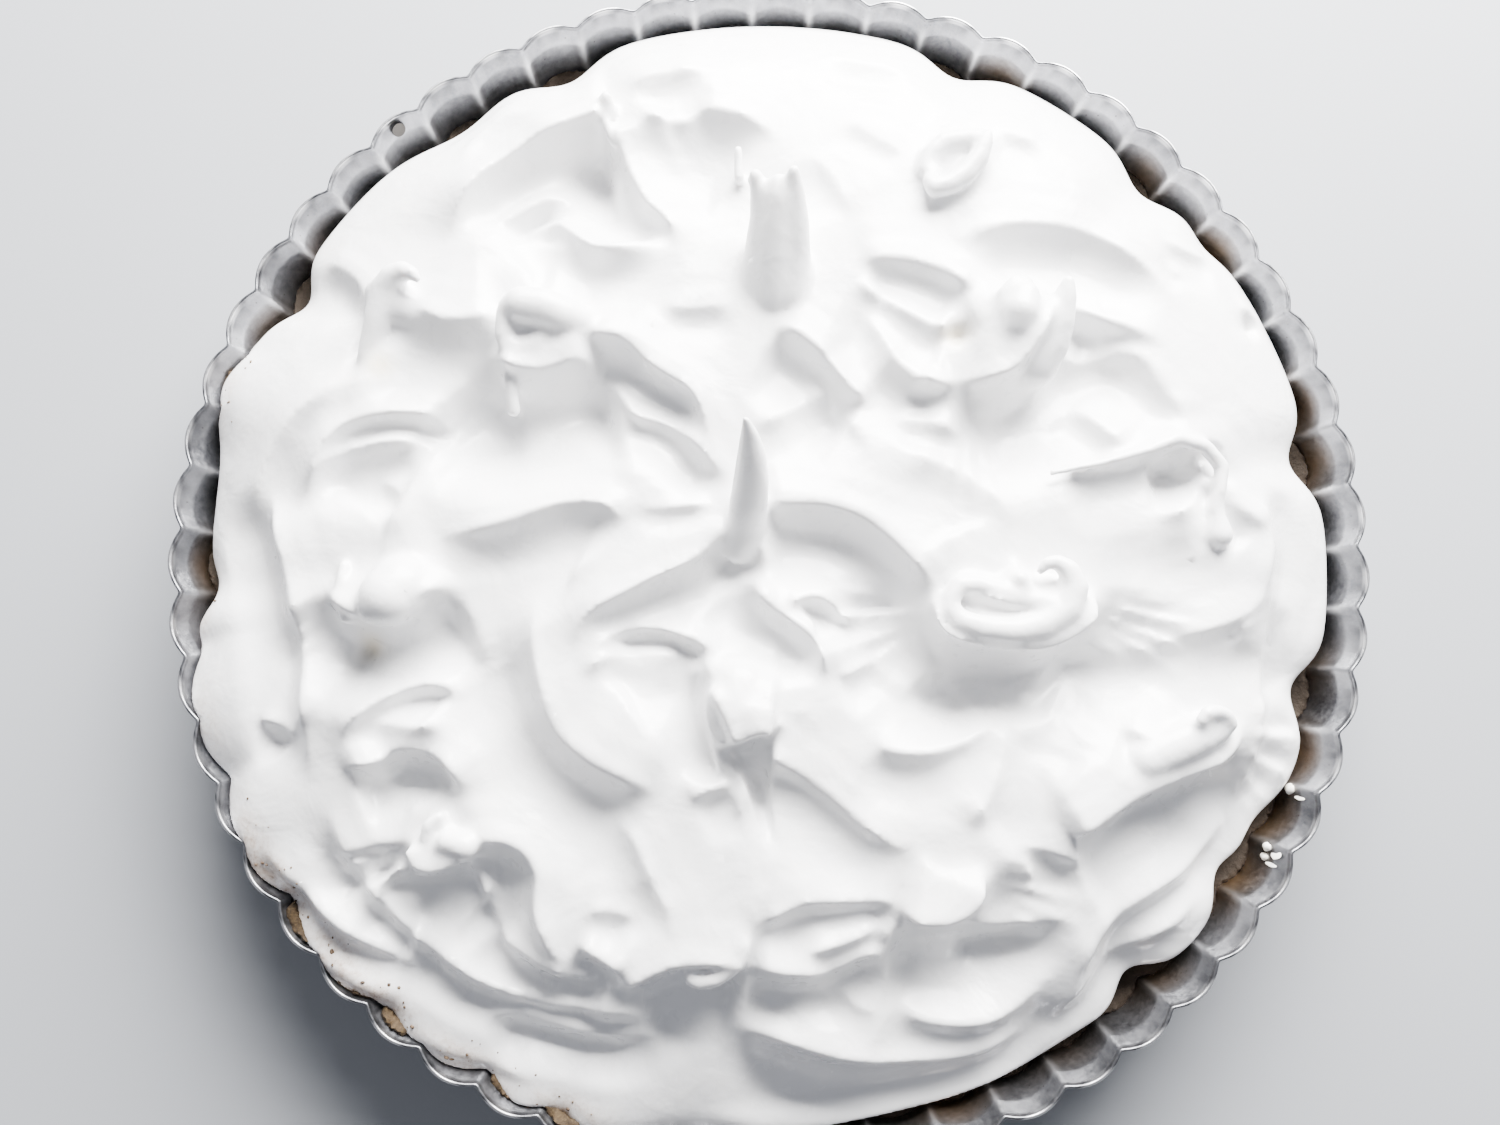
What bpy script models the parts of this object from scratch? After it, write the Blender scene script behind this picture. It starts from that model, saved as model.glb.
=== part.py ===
# Pear meringue tart in its own fluted tin.
# Metres, +Z up. The origin is on the tin's axis, on the surface that it stands on.

import math

import bmesh
import bpy
import numpy as np
from mathutils import Matrix, Vector

MM = 0.001

# Driving dimensions, in millimetres and degrees.
FLUTES = 58
FIRST_RIDGE = 123.5          # angle of one inward ridge of the fluted wall
COLUMNS_PER_FLUTE = 4
RIM_RADIUS = 140.0           # rim, out to the bulge of its flutes
RIM_HEIGHT = 31.0
FOOT_RADIUS = 131.0
FLUTE_DEPTH = 2.4
SHEET = 0.8                  # the tin's sheet
LIP_HEIGHT = 3.5             # flared band under the rim
LIP_FLARE = 2.4
FOOT_ROUND = 1.2

GAP = 0.35                   # clearance between pieces that touch
BASE_TOP = 18.0              # crust and pears, up to the meringue
CRUST_LOW = 19.0             # crust edge where the meringue hides it
CRUST_HIGH = 27.0            # crust edge where it climbs to the lip

EDGE_RADIUS = 133.0          # meringue, out to its widest
EDGE_HEIGHT = 25.0
CROWN_HEIGHT = 48.0
SHOULDER = 4.0               # the higher, the flatter the crown
SHOULDER_POWER = 0.8
TUCK = 5.0                   # how far the meringue's side turns in below

SKIN_COLUMNS = 480
SKIN_ROWS = 150
VOXEL = 1.2
SMOOTHING_ROUNDS = 4
MERINGUE_TRIANGLES = 6600

# Where the meringue's edge draws in: angle, half width and depth.
EDGE_DIPS = [
    (69, 4, 5), (44, 4, 5), (35, 3, 2), (9, 3.5, 6), (-16, 3.5, 6), (-31, 4, 4), (-37, 3, 5),
    (-51, 3, 5.5), (-60, 8, 2), (-78, 10, 1.5), (-174, 3, 5.5), (-140, 32, 1.5),
    (153, 3, 5.5), (127, 6, 4), (114, 4.5, 5.5),
]

# Where the crust climbs the wall: angle, half width and share of the full climb.
CRUST_CLIMBS = [(165, 3, 0.75), (187, 4, 0.8), (214, 5, 0.9), (225, 8, 1.0), (240, 7, 1.0), (249, 4, 0.9)]

# Strokes of the spatula. Each is an arc with its high side on the left: start x, y, end x, y,
# bow of the arc to its left, drop to its right, how far the low and the high side reach, and
# how far the crest leans over the low side.
STROKES = [
    (-72, 68, -44, 104, 6.5, 6, 9, 7, 1),       # crest under the northwest tip
    (-39, 101, -24, 63, -1.5, 6, 6, 6, 1),      # east wall of the S
    (-72, 63, -50, 71, 6, 4, 5, 3, 0),          # ridge of the S
    (-50, 71, -27, 66, -3.7, 5, 6, 3, 0),
    (-38, 96, 3, 87, 7.5, 6, 6, 6, 0.5),        # north rim of the round hollow
    (16, 63, 45, 51, 4, 6, 6, 5, 1),            # folds northeast of the centre
    (13, 56, 39, 44, 0.5, 4, 5, 4, 0),
    (13, 51, 40, 32, -3, 5, 6, 4, 0),
    (1, 45, 11, 32, -0.5, 4, 5, 4, 0),
    (37, 62, 94, 55, 12.5, 6, 8, 8, 0.5),       # long sweep
    (65, 40, 95, 23, 6.5, 5, 6, 5, 0),
    (-52, 44, -32, 39, 2.5, 4, 7, 5, 0),        # folds northwest of the centre
    (-34, 41, -16, 26, -0.5, 7, 5, 5, 1),
    (-36, 28, -10, 8, 2, 5, 5, 3, 0.5),
    (-108, 4, -77, 19, 6, 4.5, 5, 3, 0),        # west crescent
    (-75, -2, -44, 6, -1, 5, 7, 5, 0),          # swoosh
    (-49, 4, -32, -2, 3.5, 4, 3, 3, 1),
    (-51, -26, -28, -60, -8, 8, 9, 5, 0),       # edge of the low disc
    (-35, -16, -10, 3, -3, 5, 6, 3, 0),
    (-42, -40, -19, -30, 7, 4, 6, 1.8, 0),
    (-3, 5, 35, -18, 9, 6, 9, 6, 0),            # skirt of the spike
    (-10, 0, 9, -34, -5, 6, 7, 3, 0.5),
    (1, -19, 17, -24, 5, 4, 3, 4, 0.5),
    (-15, -33, -12, -46, -2, 6, 4, 6, 1.5),     # overhanging lip
    (-13, -45, 4, -44, 1.5, 9, 7, 8, 3),
    (-4, -48, 32, -71, -1.5, 5.5, 5, 8, 0.5),
    (-8, -87, 27, -82, 4, 4, 4, 8, 0.5),
    (23, -81, 42, -72, -6, 8, 6, 7, 2.5),       # round tongue
    (-24, -97, 25, -91, -3.5, 5, 4, 5, 0),
    (-32, -97, -6, -87, -0.5, 7, 6, 8, 2),      # rolled tongue
    (5, -109, 63, -106, -8, 4, 4, 5, 0),
    (-76, -64, -62, -68, -6, 7, 6, 7, 3),       # hooked tongue
    (-63, -67, -52, -84, 5.5, 7, 6, 6, 1),
    (-101, -36, -47, -103, -14, 3.5, 5, 6, 0),  # long bands round the southwest
    (-98, -53, -66, -61, 9, 5, 4, 5, 0.5),
    (85, 19, 103, 8, 7.5, 6, 6, 2.5, 0.5),      # ribbon loop
    (35, -11, 45, -25, -5, 9, 7, 6, 2),         # rolling wave east of the centre
    (44, -25, 67, -12, -7, 10, 8, 7, 3),
    (66, -63, 94, -51, 0.7, 7, 8, 8, 1.5),      # southeast tongue
    (93, -51, 101, -39, -4.4, 6, 5, 5, 2),
    (71, -27, 110, -12, -5.5, 4, 5, 6, 0),
    (40, -66, 51, -40, -3, 4, 4, 4, 0),
    (37, -88, 69, -81, -1, 4, 4, 5, 0),
    (-97, 38, -93, 63, -0.5, 5, 7, 4, 1.5),     # west crest
    (-64, 50, -46, 48, 3, 5, 7, 5, 2),
]

# Soft hollows and swells: centre x, y, half length, half width, turn and height.
SWELLS = [
    (-17, 78, 15, 12, 0, -4), (39, -99, 24, 9, 5, -4), (54, -32, 17, 6, 0, -6), (-48, 31, 12, 9, 0, -3),
    (46, 30, 15, 8, -20, -4), (87, 13, 8, 5, 10, -3), (-2, -36, 13, 8, 0, 3), (-30, -45, 15, 13, 0, 2),
    (38, -38, 11, 6, 15, -2.5), (86, -9, 20, 12, -10, -3), (-87, -21, 12, 6, 0, -4),
    (-42, 74, 9, 6, -30, -2.5), (80, -60, 12, 5, 25, -4),
]

# Peaks that the spatula pulled up, each a chain of x, y, z and radius from its root to its tip.
PEAKS = {
    "northwest tip": [(-44, 92, 42, 4.5), (-41, 93, 49, 2.8), (-40.5, 94, 53, 1.7), (-40, 95, 56, 0.8)],
    "tall wave": [(2, 58, 42, 8), (2, 63, 49, 6.6), (2.3, 67, 57, 5), (2.7, 70, 64, 3.4), (2.3, 71, 69, 2.3)],
    "tall wave hook": [(0, 69, 60, 3.2), (-4, 70, 65, 2.6), (-6, 70, 67, 2.2), (-7, 68, 66, 1.6)],
    "north hook": [(40, 78, 43, 5), (40, 79, 49, 4.5), (42, 82, 53, 3.6), (44, 84, 56, 2.3), (46, 87, 59, 0.9)],
    "north curl": [(44, 81, 52, 2.2), (38, 76, 54, 2.2), (34, 74, 55, 2.1), (33, 77, 55, 1.7)],
    "west crest": [(-94, 42, 38, 2.6), (-92, 47, 44, 3.1), (-90, 52, 49, 3.1), (-87, 55, 53, 2.5),
                   (-83, 56, 55, 2), (-80, 55, 55, 1.5)],
    "knob stem": [(-57, 29, 43, 4.2), (-57, 36, 47, 4), (-58, 41, 51, 2.8), (-60, 44, 54, 2.4)],
    "knob cap": [(-60, 44, 54, 2.4), (-56, 47, 55, 4.5), (-51, 48, 54, 4.5), (-48, 48, 51, 3)],
    "ball": [(56, 46, 43, 6.5), (56, 48, 47, 6.2), (55, 51, 50, 5.6)],
    "fin": [(60, 42, 42, 5), (61, 46, 47, 4), (62, 49, 52, 2.8), (63, 52, 56, 1)],
    "east blob": [(98, 1, 40, 4.2), (98, 1, 42, 4.2)],
    "spike": [(-6, 3, 45, 6.5), (-6.3, 9, 53, 4.8), (-7.3, 13, 60, 3.3), (-8, 15, 66, 2), (-8.7, 17, 71, 0.9)],
    "west ball": [(-86, -11, 36, 9), (-87, -12, 40, 7.6)],
    "west ribbon": [(-95, -6, 41, 1.9), (-96, -12, 42, 2), (-96, -17, 42, 2), (-94, -20, 42, 1.8)],
    "wave knob": [(53, -14, 47, 2.3), (53, -11, 49, 2)],
    "rolled lip": [(-20, -92, 40, 1.6), (-20, -96, 41, 1.8), (-15, -98, 41.5, 1.9), (-10, -96, 41.5, 1.8),
                   (-8, -92, 41, 1.6)],
}


def clear_scene():
    for thing in list(bpy.data.objects):
        bpy.data.objects.remove(thing, do_unlink=True)


def flute_wave(angle):
    """0 on an inward ridge of the wall, 1 on the bulge between two ridges."""
    phase = (angle - math.radians(FIRST_RIDGE)) * FLUTES / (2 * math.pi)
    return np.abs(np.sin(math.pi * phase)) ** 0.75


def inner_wall(height):
    """Radius of the tin's inner face on the bulges, at a height below the lip."""
    low = (SHEET + FOOT_ROUND, FOOT_RADIUS - SHEET)
    high = (RIM_HEIGHT - LIP_HEIGHT, RIM_RADIUS - LIP_FLARE - SHEET)
    return low[1] + (height - low[0]) * (high[1] - low[1]) / (high[0] - low[0])


def bell(angle, middle, half_width):
    """A bell of height 1 round an angle in degrees."""
    away = (angle - middle + 180.0) % 360.0 - 180.0
    return np.exp(-(away / half_width) ** 2)


def edge_radius(angle):
    degrees = np.degrees(angle)
    radius = np.full_like(degrees, EDGE_RADIUS)
    for middle, half_width, depth in EDGE_DIPS:
        radius = radius - depth * bell(degrees, middle, half_width)
    return radius


def crust_height(angle):
    degrees = np.degrees(angle)
    climb = np.zeros_like(degrees)
    for middle, half_width, share in CRUST_CLIMBS:
        climb = np.maximum(climb, share * bell(degrees, middle, half_width))
    return CRUST_LOW + (CRUST_HIGH - CRUST_LOW) * climb


def turned(profile, columns):
    """Turn a profile of (radius, height) pairs, both ends on the axis, into a closed shell."""
    shape = bmesh.new()
    points = [shape.verts.new((radius, 0.0, height)) for radius, height in profile]
    edges = [shape.edges.new(pair) for pair in zip(points, points[1:])]
    bmesh.ops.spin(shape, geom=points + edges, cent=(0, 0, 0), axis=(0, 0, 1),
                   angle=2 * math.pi, steps=columns, use_merge=True)
    bmesh.ops.remove_doubles(shape, verts=shape.verts, dist=1e-4)
    bmesh.ops.recalc_face_normals(shape, faces=shape.faces)
    return shape


def finish(shape, name, colour, roughness, metallic, collection):
    """Make the named object, in metres, with its own material."""
    bmesh.ops.scale(shape, vec=(MM, MM, MM), verts=shape.verts)
    mesh = bpy.data.meshes.new(name)
    shape.to_mesh(mesh)
    shape.free()
    mesh.shade_smooth()
    mesh.set_sharp_from_angle(angle=math.radians(40))
    material = bpy.data.materials.new(name)
    material.use_nodes = True
    surface = material.node_tree.nodes["Principled BSDF"]
    surface.inputs["Base Color"].default_value = (*colour, 1.0)
    surface.inputs["Roughness"].default_value = roughness
    surface.inputs["Metallic"].default_value = metallic
    mesh.materials.append(material)
    thing = bpy.data.objects.new(name, mesh)
    collection.objects.link(thing)
    return thing


def make_tin(collection):
    wall_top = RIM_HEIGHT - LIP_HEIGHT
    wall_radius = RIM_RADIUS - LIP_FLARE
    profile = [
        (0.0, 0.0),
        (FOOT_RADIUS - FOOT_ROUND, 0.0),
        (FOOT_RADIUS, FOOT_ROUND),
        (wall_radius, wall_top),
        (RIM_RADIUS, RIM_HEIGHT - SHEET),
        (RIM_RADIUS - SHEET, RIM_HEIGHT),
        (wall_radius - SHEET, wall_top),
        (FOOT_RADIUS - SHEET, SHEET + FOOT_ROUND),
        (FOOT_RADIUS - SHEET - FOOT_ROUND, SHEET),
        (0.0, SHEET),
    ]
    shape = turned(profile, FLUTES * COLUMNS_PER_FLUTE)
    floor_radius = FOOT_RADIUS - SHEET - FOOT_ROUND - 1.0
    for vert in shape.verts:
        radius = vert.co.xy.length
        if radius > floor_radius:
            drawn_in = FLUTE_DEPTH * (1.0 - flute_wave(math.atan2(vert.co.y, vert.co.x)))
            vert.co.xy *= (radius - drawn_in) / radius
    return finish(shape, "tin", (0.42, 0.41, 0.40), 0.42, 1.0, collection)


def make_base(collection):
    """Crust and pears: a disc that fills the tin, with the crust's edge climbing its wall."""
    low = SHEET + GAP
    foot = FOOT_RADIUS - SHEET - FOOT_ROUND - GAP
    step = low + FOOT_ROUND
    profile = [(0.0, low), (foot, low), (inner_wall(step) - GAP, step), (200.0, 3.0), (180.0, 4.0),
               (160.0, 5.0), (0.0, BASE_TOP)]
    shape = turned(profile, FLUTES * COLUMNS_PER_FLUTE)
    for vert in shape.verts:
        radius = vert.co.xy.length
        if radius < 1.0:
            continue
        angle = np.array([math.atan2(vert.co.y, vert.co.x)])
        top = float(crust_height(angle)[0])
        drawn_in = FLUTE_DEPTH * (1.0 - float(flute_wave(angle)[0]))
        reach = float(edge_radius(angle)[0])
        if radius > 190.0:
            new_radius, height = inner_wall(top) - GAP - drawn_in, top
        elif radius > 170.0:
            new_radius, height = min(reach + 0.6, inner_wall(top) - GAP - drawn_in - 0.8), top - 0.6
        elif radius > 150.0:
            new_radius, height = min(reach + 0.2, inner_wall(top) - GAP - drawn_in - 1.2), BASE_TOP
        else:
            new_radius, height = radius - drawn_in, vert.co.z
        vert.co.xy *= new_radius / radius
        vert.co.z = height
    return finish(shape, "tart_base", (0.42, 0.22, 0.085), 0.75, 0.0, collection)


def arc_points(start, end, bow, count):
    start = np.array(start, float)
    end = np.array(end, float)
    along = end - start
    left = np.array([-along[1], along[0]]) / np.linalg.norm(along)
    middle = (start + end) / 2 + 2 * bow * left
    t = np.linspace(0.0, 1.0, count)[:, None]
    return (1 - t) ** 2 * start + 2 * t * (1 - t) * middle + t ** 2 * end


def smooth_step(value):
    value = np.clip(value, 0.0, 1.0)
    return value * value * (3.0 - 2.0 * value)


def press_stroke(x, y, shift, stroke):
    """Add one stroke's lift and lean to shift, whose rows are dx, dy and dz."""
    x0, y0, x1, y1, bow, drop, low_reach, high_reach, lean = stroke
    path = arc_points((x0, y0), (x1, y1), bow, 33)
    margin = 3.0 * max(low_reach, high_reach)
    near = ((x > path[:, 0].min() - margin) & (x < path[:, 0].max() + margin)
            & (y > path[:, 1].min() - margin) & (y < path[:, 1].max() + margin))
    spots = np.stack([x[near], y[near]], axis=1)
    offsets = spots[:, None, :] - path[None, :, :]
    closest = np.argmin((offsets ** 2).sum(axis=2), axis=1)
    tangents = np.gradient(path, axis=0)
    tangents /= np.linalg.norm(tangents, axis=1)[:, None]
    tangent = tangents[closest]
    offset = offsets[np.arange(len(spots)), closest]
    side = tangent[:, 0] * offset[:, 1] - tangent[:, 1] * offset[:, 0]
    beyond = np.abs((tangent * offset).sum(axis=1))
    t = closest / (len(path) - 1)
    strength = smooth_step(t / 0.22) * smooth_step((1 - t) / 0.22) * np.exp(-(beyond / 3.0) ** 2)
    crest = 0.45 * drop
    foot = drop - crest
    fall = 0.28 * low_reach
    high = crest * np.exp(-np.clip(side, 0, None) / high_reach)
    slope = crest - drop * smooth_step(-side / fall)
    low = -foot * (1 - smooth_step((-side - fall) / (1.6 * low_reach)))
    lift = np.where(side > 0, high, np.where(side > -fall, slope, low))
    lean_here = lean * np.exp(-((side - 0.3) / 1.6) ** 2) * strength
    shift[0, near] += tangent[:, 1] * lean_here
    shift[1, near] -= tangent[:, 0] * lean_here
    shift[2, near] += lift * strength


def press_swell(x, y, shift, swell):
    cx, cy, half_length, half_width, turn, height = swell
    c = math.cos(math.radians(turn))
    s = math.sin(math.radians(turn))
    u = ((x - cx) * c + (y - cy) * s) / half_length
    v = (-(x - cx) * s + (y - cy) * c) / half_width
    shift[2] += height * np.exp(-(u ** 2 + v ** 2))


def meringue_skin():
    """The mound with its strokes: a grid whose rows run from the crown over the edge and under."""
    shape = bmesh.new()
    bmesh.ops.create_grid(shape, x_segments=SKIN_COLUMNS, y_segments=SKIN_ROWS, size=0.5)
    places = np.array([vert.co[:] for vert in shape.verts])
    angle = (places[:, 0] + 0.5) * 2 * math.pi
    row = places[:, 1] + 0.5
    top_share = 0.9
    reach = edge_radius(angle)
    over = row <= top_share
    share = np.where(over, row / top_share, 1.0)
    under = np.where(over, 0.0, (row - top_share) / (1 - top_share))
    radius = reach * share
    height = EDGE_HEIGHT + (CROWN_HEIGHT - EDGE_HEIGHT) * (1 - share ** SHOULDER) ** SHOULDER_POWER
    bottom = BASE_TOP + GAP
    tuck = np.clip(under / 0.4, 0, 1)
    radius = np.where(over, radius, reach - TUCK * tuck ** 2)
    height = np.where(over, height, EDGE_HEIGHT + (bottom - EDGE_HEIGHT) * np.sqrt(tuck))
    radius = np.where(under > 0.4, (reach - TUCK) * (1 - under) / 0.6, radius)
    height = np.where(under > 0.4, bottom, height)
    x = radius * np.cos(angle)
    y = radius * np.sin(angle)
    shift = np.zeros((3, len(x)))
    for stroke in STROKES:
        press_stroke(x, y, shift, stroke)
    for swell in SWELLS:
        press_swell(x, y, shift, swell)
    hold = np.where(over, np.clip((1 - share) / 0.05, 0, 1), 0.0)
    x = x + shift[0] * hold
    y = y + shift[1] * hold
    height = height + shift[2] * hold
    for vert, place in zip(shape.verts, np.stack([x, y, height], axis=1)):
        vert.co = place
    bmesh.ops.remove_doubles(shape, verts=shape.verts, dist=1e-3)
    bmesh.ops.recalc_face_normals(shape, faces=shape.faces)
    return shape


def add_peak(shape, chain):
    """Beads so close together that they make one tapered, bent peak."""
    for start, end in zip(chain, chain[1:]):
        start = np.array(start, float)
        end = np.array(end, float)
        length = np.linalg.norm(end[:3] - start[:3])
        steps = max(2, math.ceil(length / (0.3 * min(start[3], end[3]))))
        for t in np.linspace(0.0, 1.0, steps + 1):
            bead = start + (end - start) * t
            bmesh.ops.create_icosphere(shape, subdivisions=3, radius=bead[3],
                                       matrix=Matrix.Translation(Vector(bead[:3])))


def evaluated(thing):
    """The mesh that a thing's modifiers make."""
    graph = bpy.context.evaluated_depsgraph_get()
    return bpy.data.meshes.new_from_object(thing.evaluated_get(graph))


def keep_clear(mesh):
    """Hold the meringue off the tin's ridges, the crust's edge and the base below it."""
    places = np.empty(len(mesh.vertices) * 3)
    mesh.vertices.foreach_get("co", places)
    places = places.reshape(-1, 3)
    angle = np.arctan2(places[:, 1], places[:, 0])
    radius = np.hypot(places[:, 0], places[:, 1])
    ridge = inner_wall(np.minimum(places[:, 2], RIM_HEIGHT - LIP_HEIGHT)) - FLUTE_DEPTH
    limit = np.minimum(edge_radius(angle), ridge - 2 * GAP)
    factor = np.where(radius > limit, limit / np.maximum(radius, 1e-6), 1.0)
    places[:, 0] *= factor
    places[:, 1] *= factor
    places[:, 2] = np.maximum(places[:, 2], BASE_TOP + GAP)
    mesh.vertices.foreach_set("co", places.ravel())
    mesh.update()


def make_meringue(collection):
    shape = meringue_skin()
    for chain in PEAKS.values():
        add_peak(shape, chain)
    mesh = bpy.data.meshes.new("meringue_rough")
    shape.to_mesh(mesh)
    shape.free()
    rough = bpy.data.objects.new("meringue_rough", mesh)
    collection.objects.link(rough)
    remesh = rough.modifiers.new("one skin", "REMESH")
    remesh.mode = "VOXEL"
    remesh.voxel_size = VOXEL
    soften = rough.modifiers.new("soften", "SMOOTH")
    soften.iterations = SMOOTHING_ROUNDS
    skin = evaluated(rough)
    thin = rough.modifiers.new("fewer faces", "DECIMATE")
    thin.ratio = MERINGUE_TRIANGLES / (2 * len(skin.polygons))
    thin.use_collapse_triangulate = True
    skin = evaluated(rough)
    bpy.data.objects.remove(rough, do_unlink=True)
    keep_clear(skin)
    shape = bmesh.new()
    shape.from_mesh(skin)
    return finish(shape, "meringue", (0.93, 0.92, 0.90), 0.35, 0.0, collection)


def main():
    clear_scene()
    collection = bpy.data.collections.new("pear_meringue_tart")
    bpy.context.scene.collection.children.link(collection)
    make_tin(collection)
    make_base(collection)
    make_meringue(collection)


main()
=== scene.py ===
# Pear meringue tart in its fluted tin: surfaces, light and camera.
# Sizes are in millimetres and degrees until a piece is finished, which scales it to metres.
import math
import random

import bmesh
import bpy
import numpy as np
from mathutils import Matrix, Vector
from mathutils.bvhtree import BVHTree


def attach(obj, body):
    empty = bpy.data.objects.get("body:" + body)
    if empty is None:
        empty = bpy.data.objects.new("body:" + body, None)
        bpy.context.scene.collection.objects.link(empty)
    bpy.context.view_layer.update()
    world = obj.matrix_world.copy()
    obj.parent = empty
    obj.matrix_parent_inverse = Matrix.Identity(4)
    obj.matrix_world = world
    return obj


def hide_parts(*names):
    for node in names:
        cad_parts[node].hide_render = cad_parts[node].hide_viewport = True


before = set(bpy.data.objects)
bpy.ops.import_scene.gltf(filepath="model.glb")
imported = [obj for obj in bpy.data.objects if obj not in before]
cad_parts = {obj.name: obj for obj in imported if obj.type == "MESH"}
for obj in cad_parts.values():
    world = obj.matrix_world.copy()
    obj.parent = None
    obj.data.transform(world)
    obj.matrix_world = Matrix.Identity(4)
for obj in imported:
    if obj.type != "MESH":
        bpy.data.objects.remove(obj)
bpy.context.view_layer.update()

mm = 0.001
wholeCircle = 2 * math.pi


def asMesh(shape, name):
    # a new mesh from a bmesh, which is freed
    mesh = bpy.data.meshes.new(name)
    shape.to_mesh(mesh)
    shape.free()
    return mesh


def finishPiece(shape, name, material, sharpAngle):
    # scale a bmesh to metres and make it a piece that rides with the tart
    bmesh.ops.scale(shape, vec=(mm, mm, mm), verts=shape.verts)
    mesh = asMesh(shape, name)
    mesh.shade_smooth()
    mesh.set_sharp_from_angle(angle=math.radians(sharpAngle))
    mesh.materials.append(material)
    piece = bpy.data.objects.new(name, mesh)
    bpy.context.scene.collection.objects.link(piece)
    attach(piece, "root")
    return piece


def paintAttribute(mesh, name, values):
    # one number for each vertex, which a material reads by name
    layer = mesh.attributes.new(name, "FLOAT", "POINT")
    layer.data.foreach_set("value", np.asarray(values, np.float32))


def vertexPlaces(mesh):
    places = np.empty(len(mesh.vertices) * 3)
    mesh.vertices.foreach_get("co", places)
    return places.reshape(-1, 3)


def bell(angle, middle, halfWidth):
    # a bell of height 1 round an angle
    away = (angle - middle + 180.0) % 360.0 - 180.0
    return np.exp(-(away / halfWidth) ** 2)


def patchwork(degrees, patches, gain=1.0):
    # the highest of some bells, each an angle, a half width and a strength; a gain flattens their tops
    height = np.zeros_like(degrees)
    for middle, halfWidth, strength in patches:
        height = np.maximum(height, strength * np.minimum(1.0, gain * bell(degrees, middle, halfWidth)))
    return height


def easeStep(value):
    value = np.clip(value, 0.0, 1.0)
    return value * value * (3.0 - 2.0 * value)


class Recipe:
    # a material and short ways to wire its nodes
    def __init__(self, name):
        self.material = bpy.data.materials.new(name)
        self.material.use_nodes = True
        self.nodes = self.material.node_tree.nodes
        self.links = self.material.node_tree.links
        self.surface = self.nodes["Principled BSDF"]
        self.coordinates = self.nodes.new("ShaderNodeTexCoord").outputs["Object"]

    def join(self, source, target):
        self.links.new(source, target)

    def noise(self, scale, detail, roughness=0.5, distortion=0.0):
        node = self.nodes.new("ShaderNodeTexNoise")
        node.inputs["Scale"].default_value = scale
        node.inputs["Detail"].default_value = detail
        node.inputs["Roughness"].default_value = roughness
        node.inputs["Distortion"].default_value = distortion
        self.join(self.coordinates, node.inputs["Vector"])
        return node.outputs["Fac"]

    def cells(self, scale):
        node = self.nodes.new("ShaderNodeTexVoronoi")
        node.inputs["Scale"].default_value = scale
        self.join(self.coordinates, node.inputs["Vector"])
        return node.outputs["Distance"]

    def attribute(self, name):
        node = self.nodes.new("ShaderNodeAttribute")
        node.attribute_name = name
        return node.outputs["Fac"]

    def spread(self, value, low, high, newLow=0.0, newHigh=1.0):
        node = self.nodes.new("ShaderNodeMapRange")
        node.inputs["From Min"].default_value = low
        node.inputs["From Max"].default_value = high
        node.inputs["To Min"].default_value = newLow
        node.inputs["To Max"].default_value = newHigh
        self.join(value, node.inputs["Value"])
        return node.outputs["Result"]

    def sum(self, operation, first, second):
        node = self.nodes.new("ShaderNodeMath")
        node.operation = operation
        for value, socket in zip((first, second), node.inputs):
            if isinstance(value, (int, float)):
                socket.default_value = value
            else:
                self.join(value, socket)
        return node.outputs["Value"]

    def mix(self, share, first, second):
        node = self.nodes.new("ShaderNodeMix")
        node.data_type = "RGBA"
        self.join(share, node.inputs["Factor"])
        for value, socket in ((first, node.inputs[6]), (second, node.inputs[7])):
            if isinstance(value, tuple):
                socket.default_value = (*value, 1.0)
            else:
                self.join(value, socket)
        return node.outputs[2]

    def bump(self, height, strength, distance, below=None):
        node = self.nodes.new("ShaderNodeBump")
        node.inputs["Strength"].default_value = strength
        node.inputs["Distance"].default_value = distance
        self.join(height, node.inputs["Height"])
        if below is not None:
            self.join(below, node.inputs["Normal"])
        return node.outputs["Normal"]

    def put(self, **values):
        # set or wire inputs of the surface, given in camelCase
        for key, value in values.items():
            name = "".join(" " + letter if letter.isupper() else letter for letter in key)
            socket = self.surface.inputs[name.strip().title().replace("Ior", "IOR")]
            if isinstance(value, tuple):
                socket.default_value = (*value, 1.0)
            elif isinstance(value, (int, float)):
                socket.default_value = value
            else:
                self.join(value, socket)


tin = {
    "flutes": 58,
    "firstRidge": 123.5,     # angle of one inward ridge
    "columnsPerFlute": 28,
    "rimRadius": 140.0,
    "rimHeight": 31.0,
    "footRadius": 131.0,
    "fluteDepth": 2.4,
    "foldRound": 0.11,       # the higher, the rounder the ridges
    "sheet": 0.8,
    "lipHeight": 3.5,
    "lipFlare": 2.4,
    "footRound": 1.2,
    "bead": 0.45,            # radius of the rolled edge
    # amber-brown tint low on the inner wall, beside the meringue: angle, half width, strength
    "amberPatches": [(9, 3, 0.8), (15, 3, 1.0), (34, 3, 0.8), (45, 2.5, 0.6), (64, 3, 0.6), (147, 4, 0.3),
        (157, 3, 0.4), (183, 3, 1.0), (193, 3, 0.5), (287, 4, 0.8), (299, 4, 0.35), (311, 3, 0.6),
        (324, 3, 1.0), (331, 3, 1.0), (338, 3, 0.9), (347, 3, 0.4)],
    # dark burnt grains just over some ridges: angle, half width, strength
    "sootPatches": [(-16.4, 0.9, 0.5), (-22.8, 1.1, 0.8), (-28.9, 1.2, 0.8), (-35.2, 1.0, 0.7),
        (15, 2.5, 0.4), (184, 2.5, 0.6), (288, 3, 0.4), (-172, 1.2, 0.5)],
}
tin["wallTop"] = tin["rimHeight"] - tin["lipHeight"]
tin["wallRadius"] = tin["rimRadius"] - tin["lipFlare"]


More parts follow.
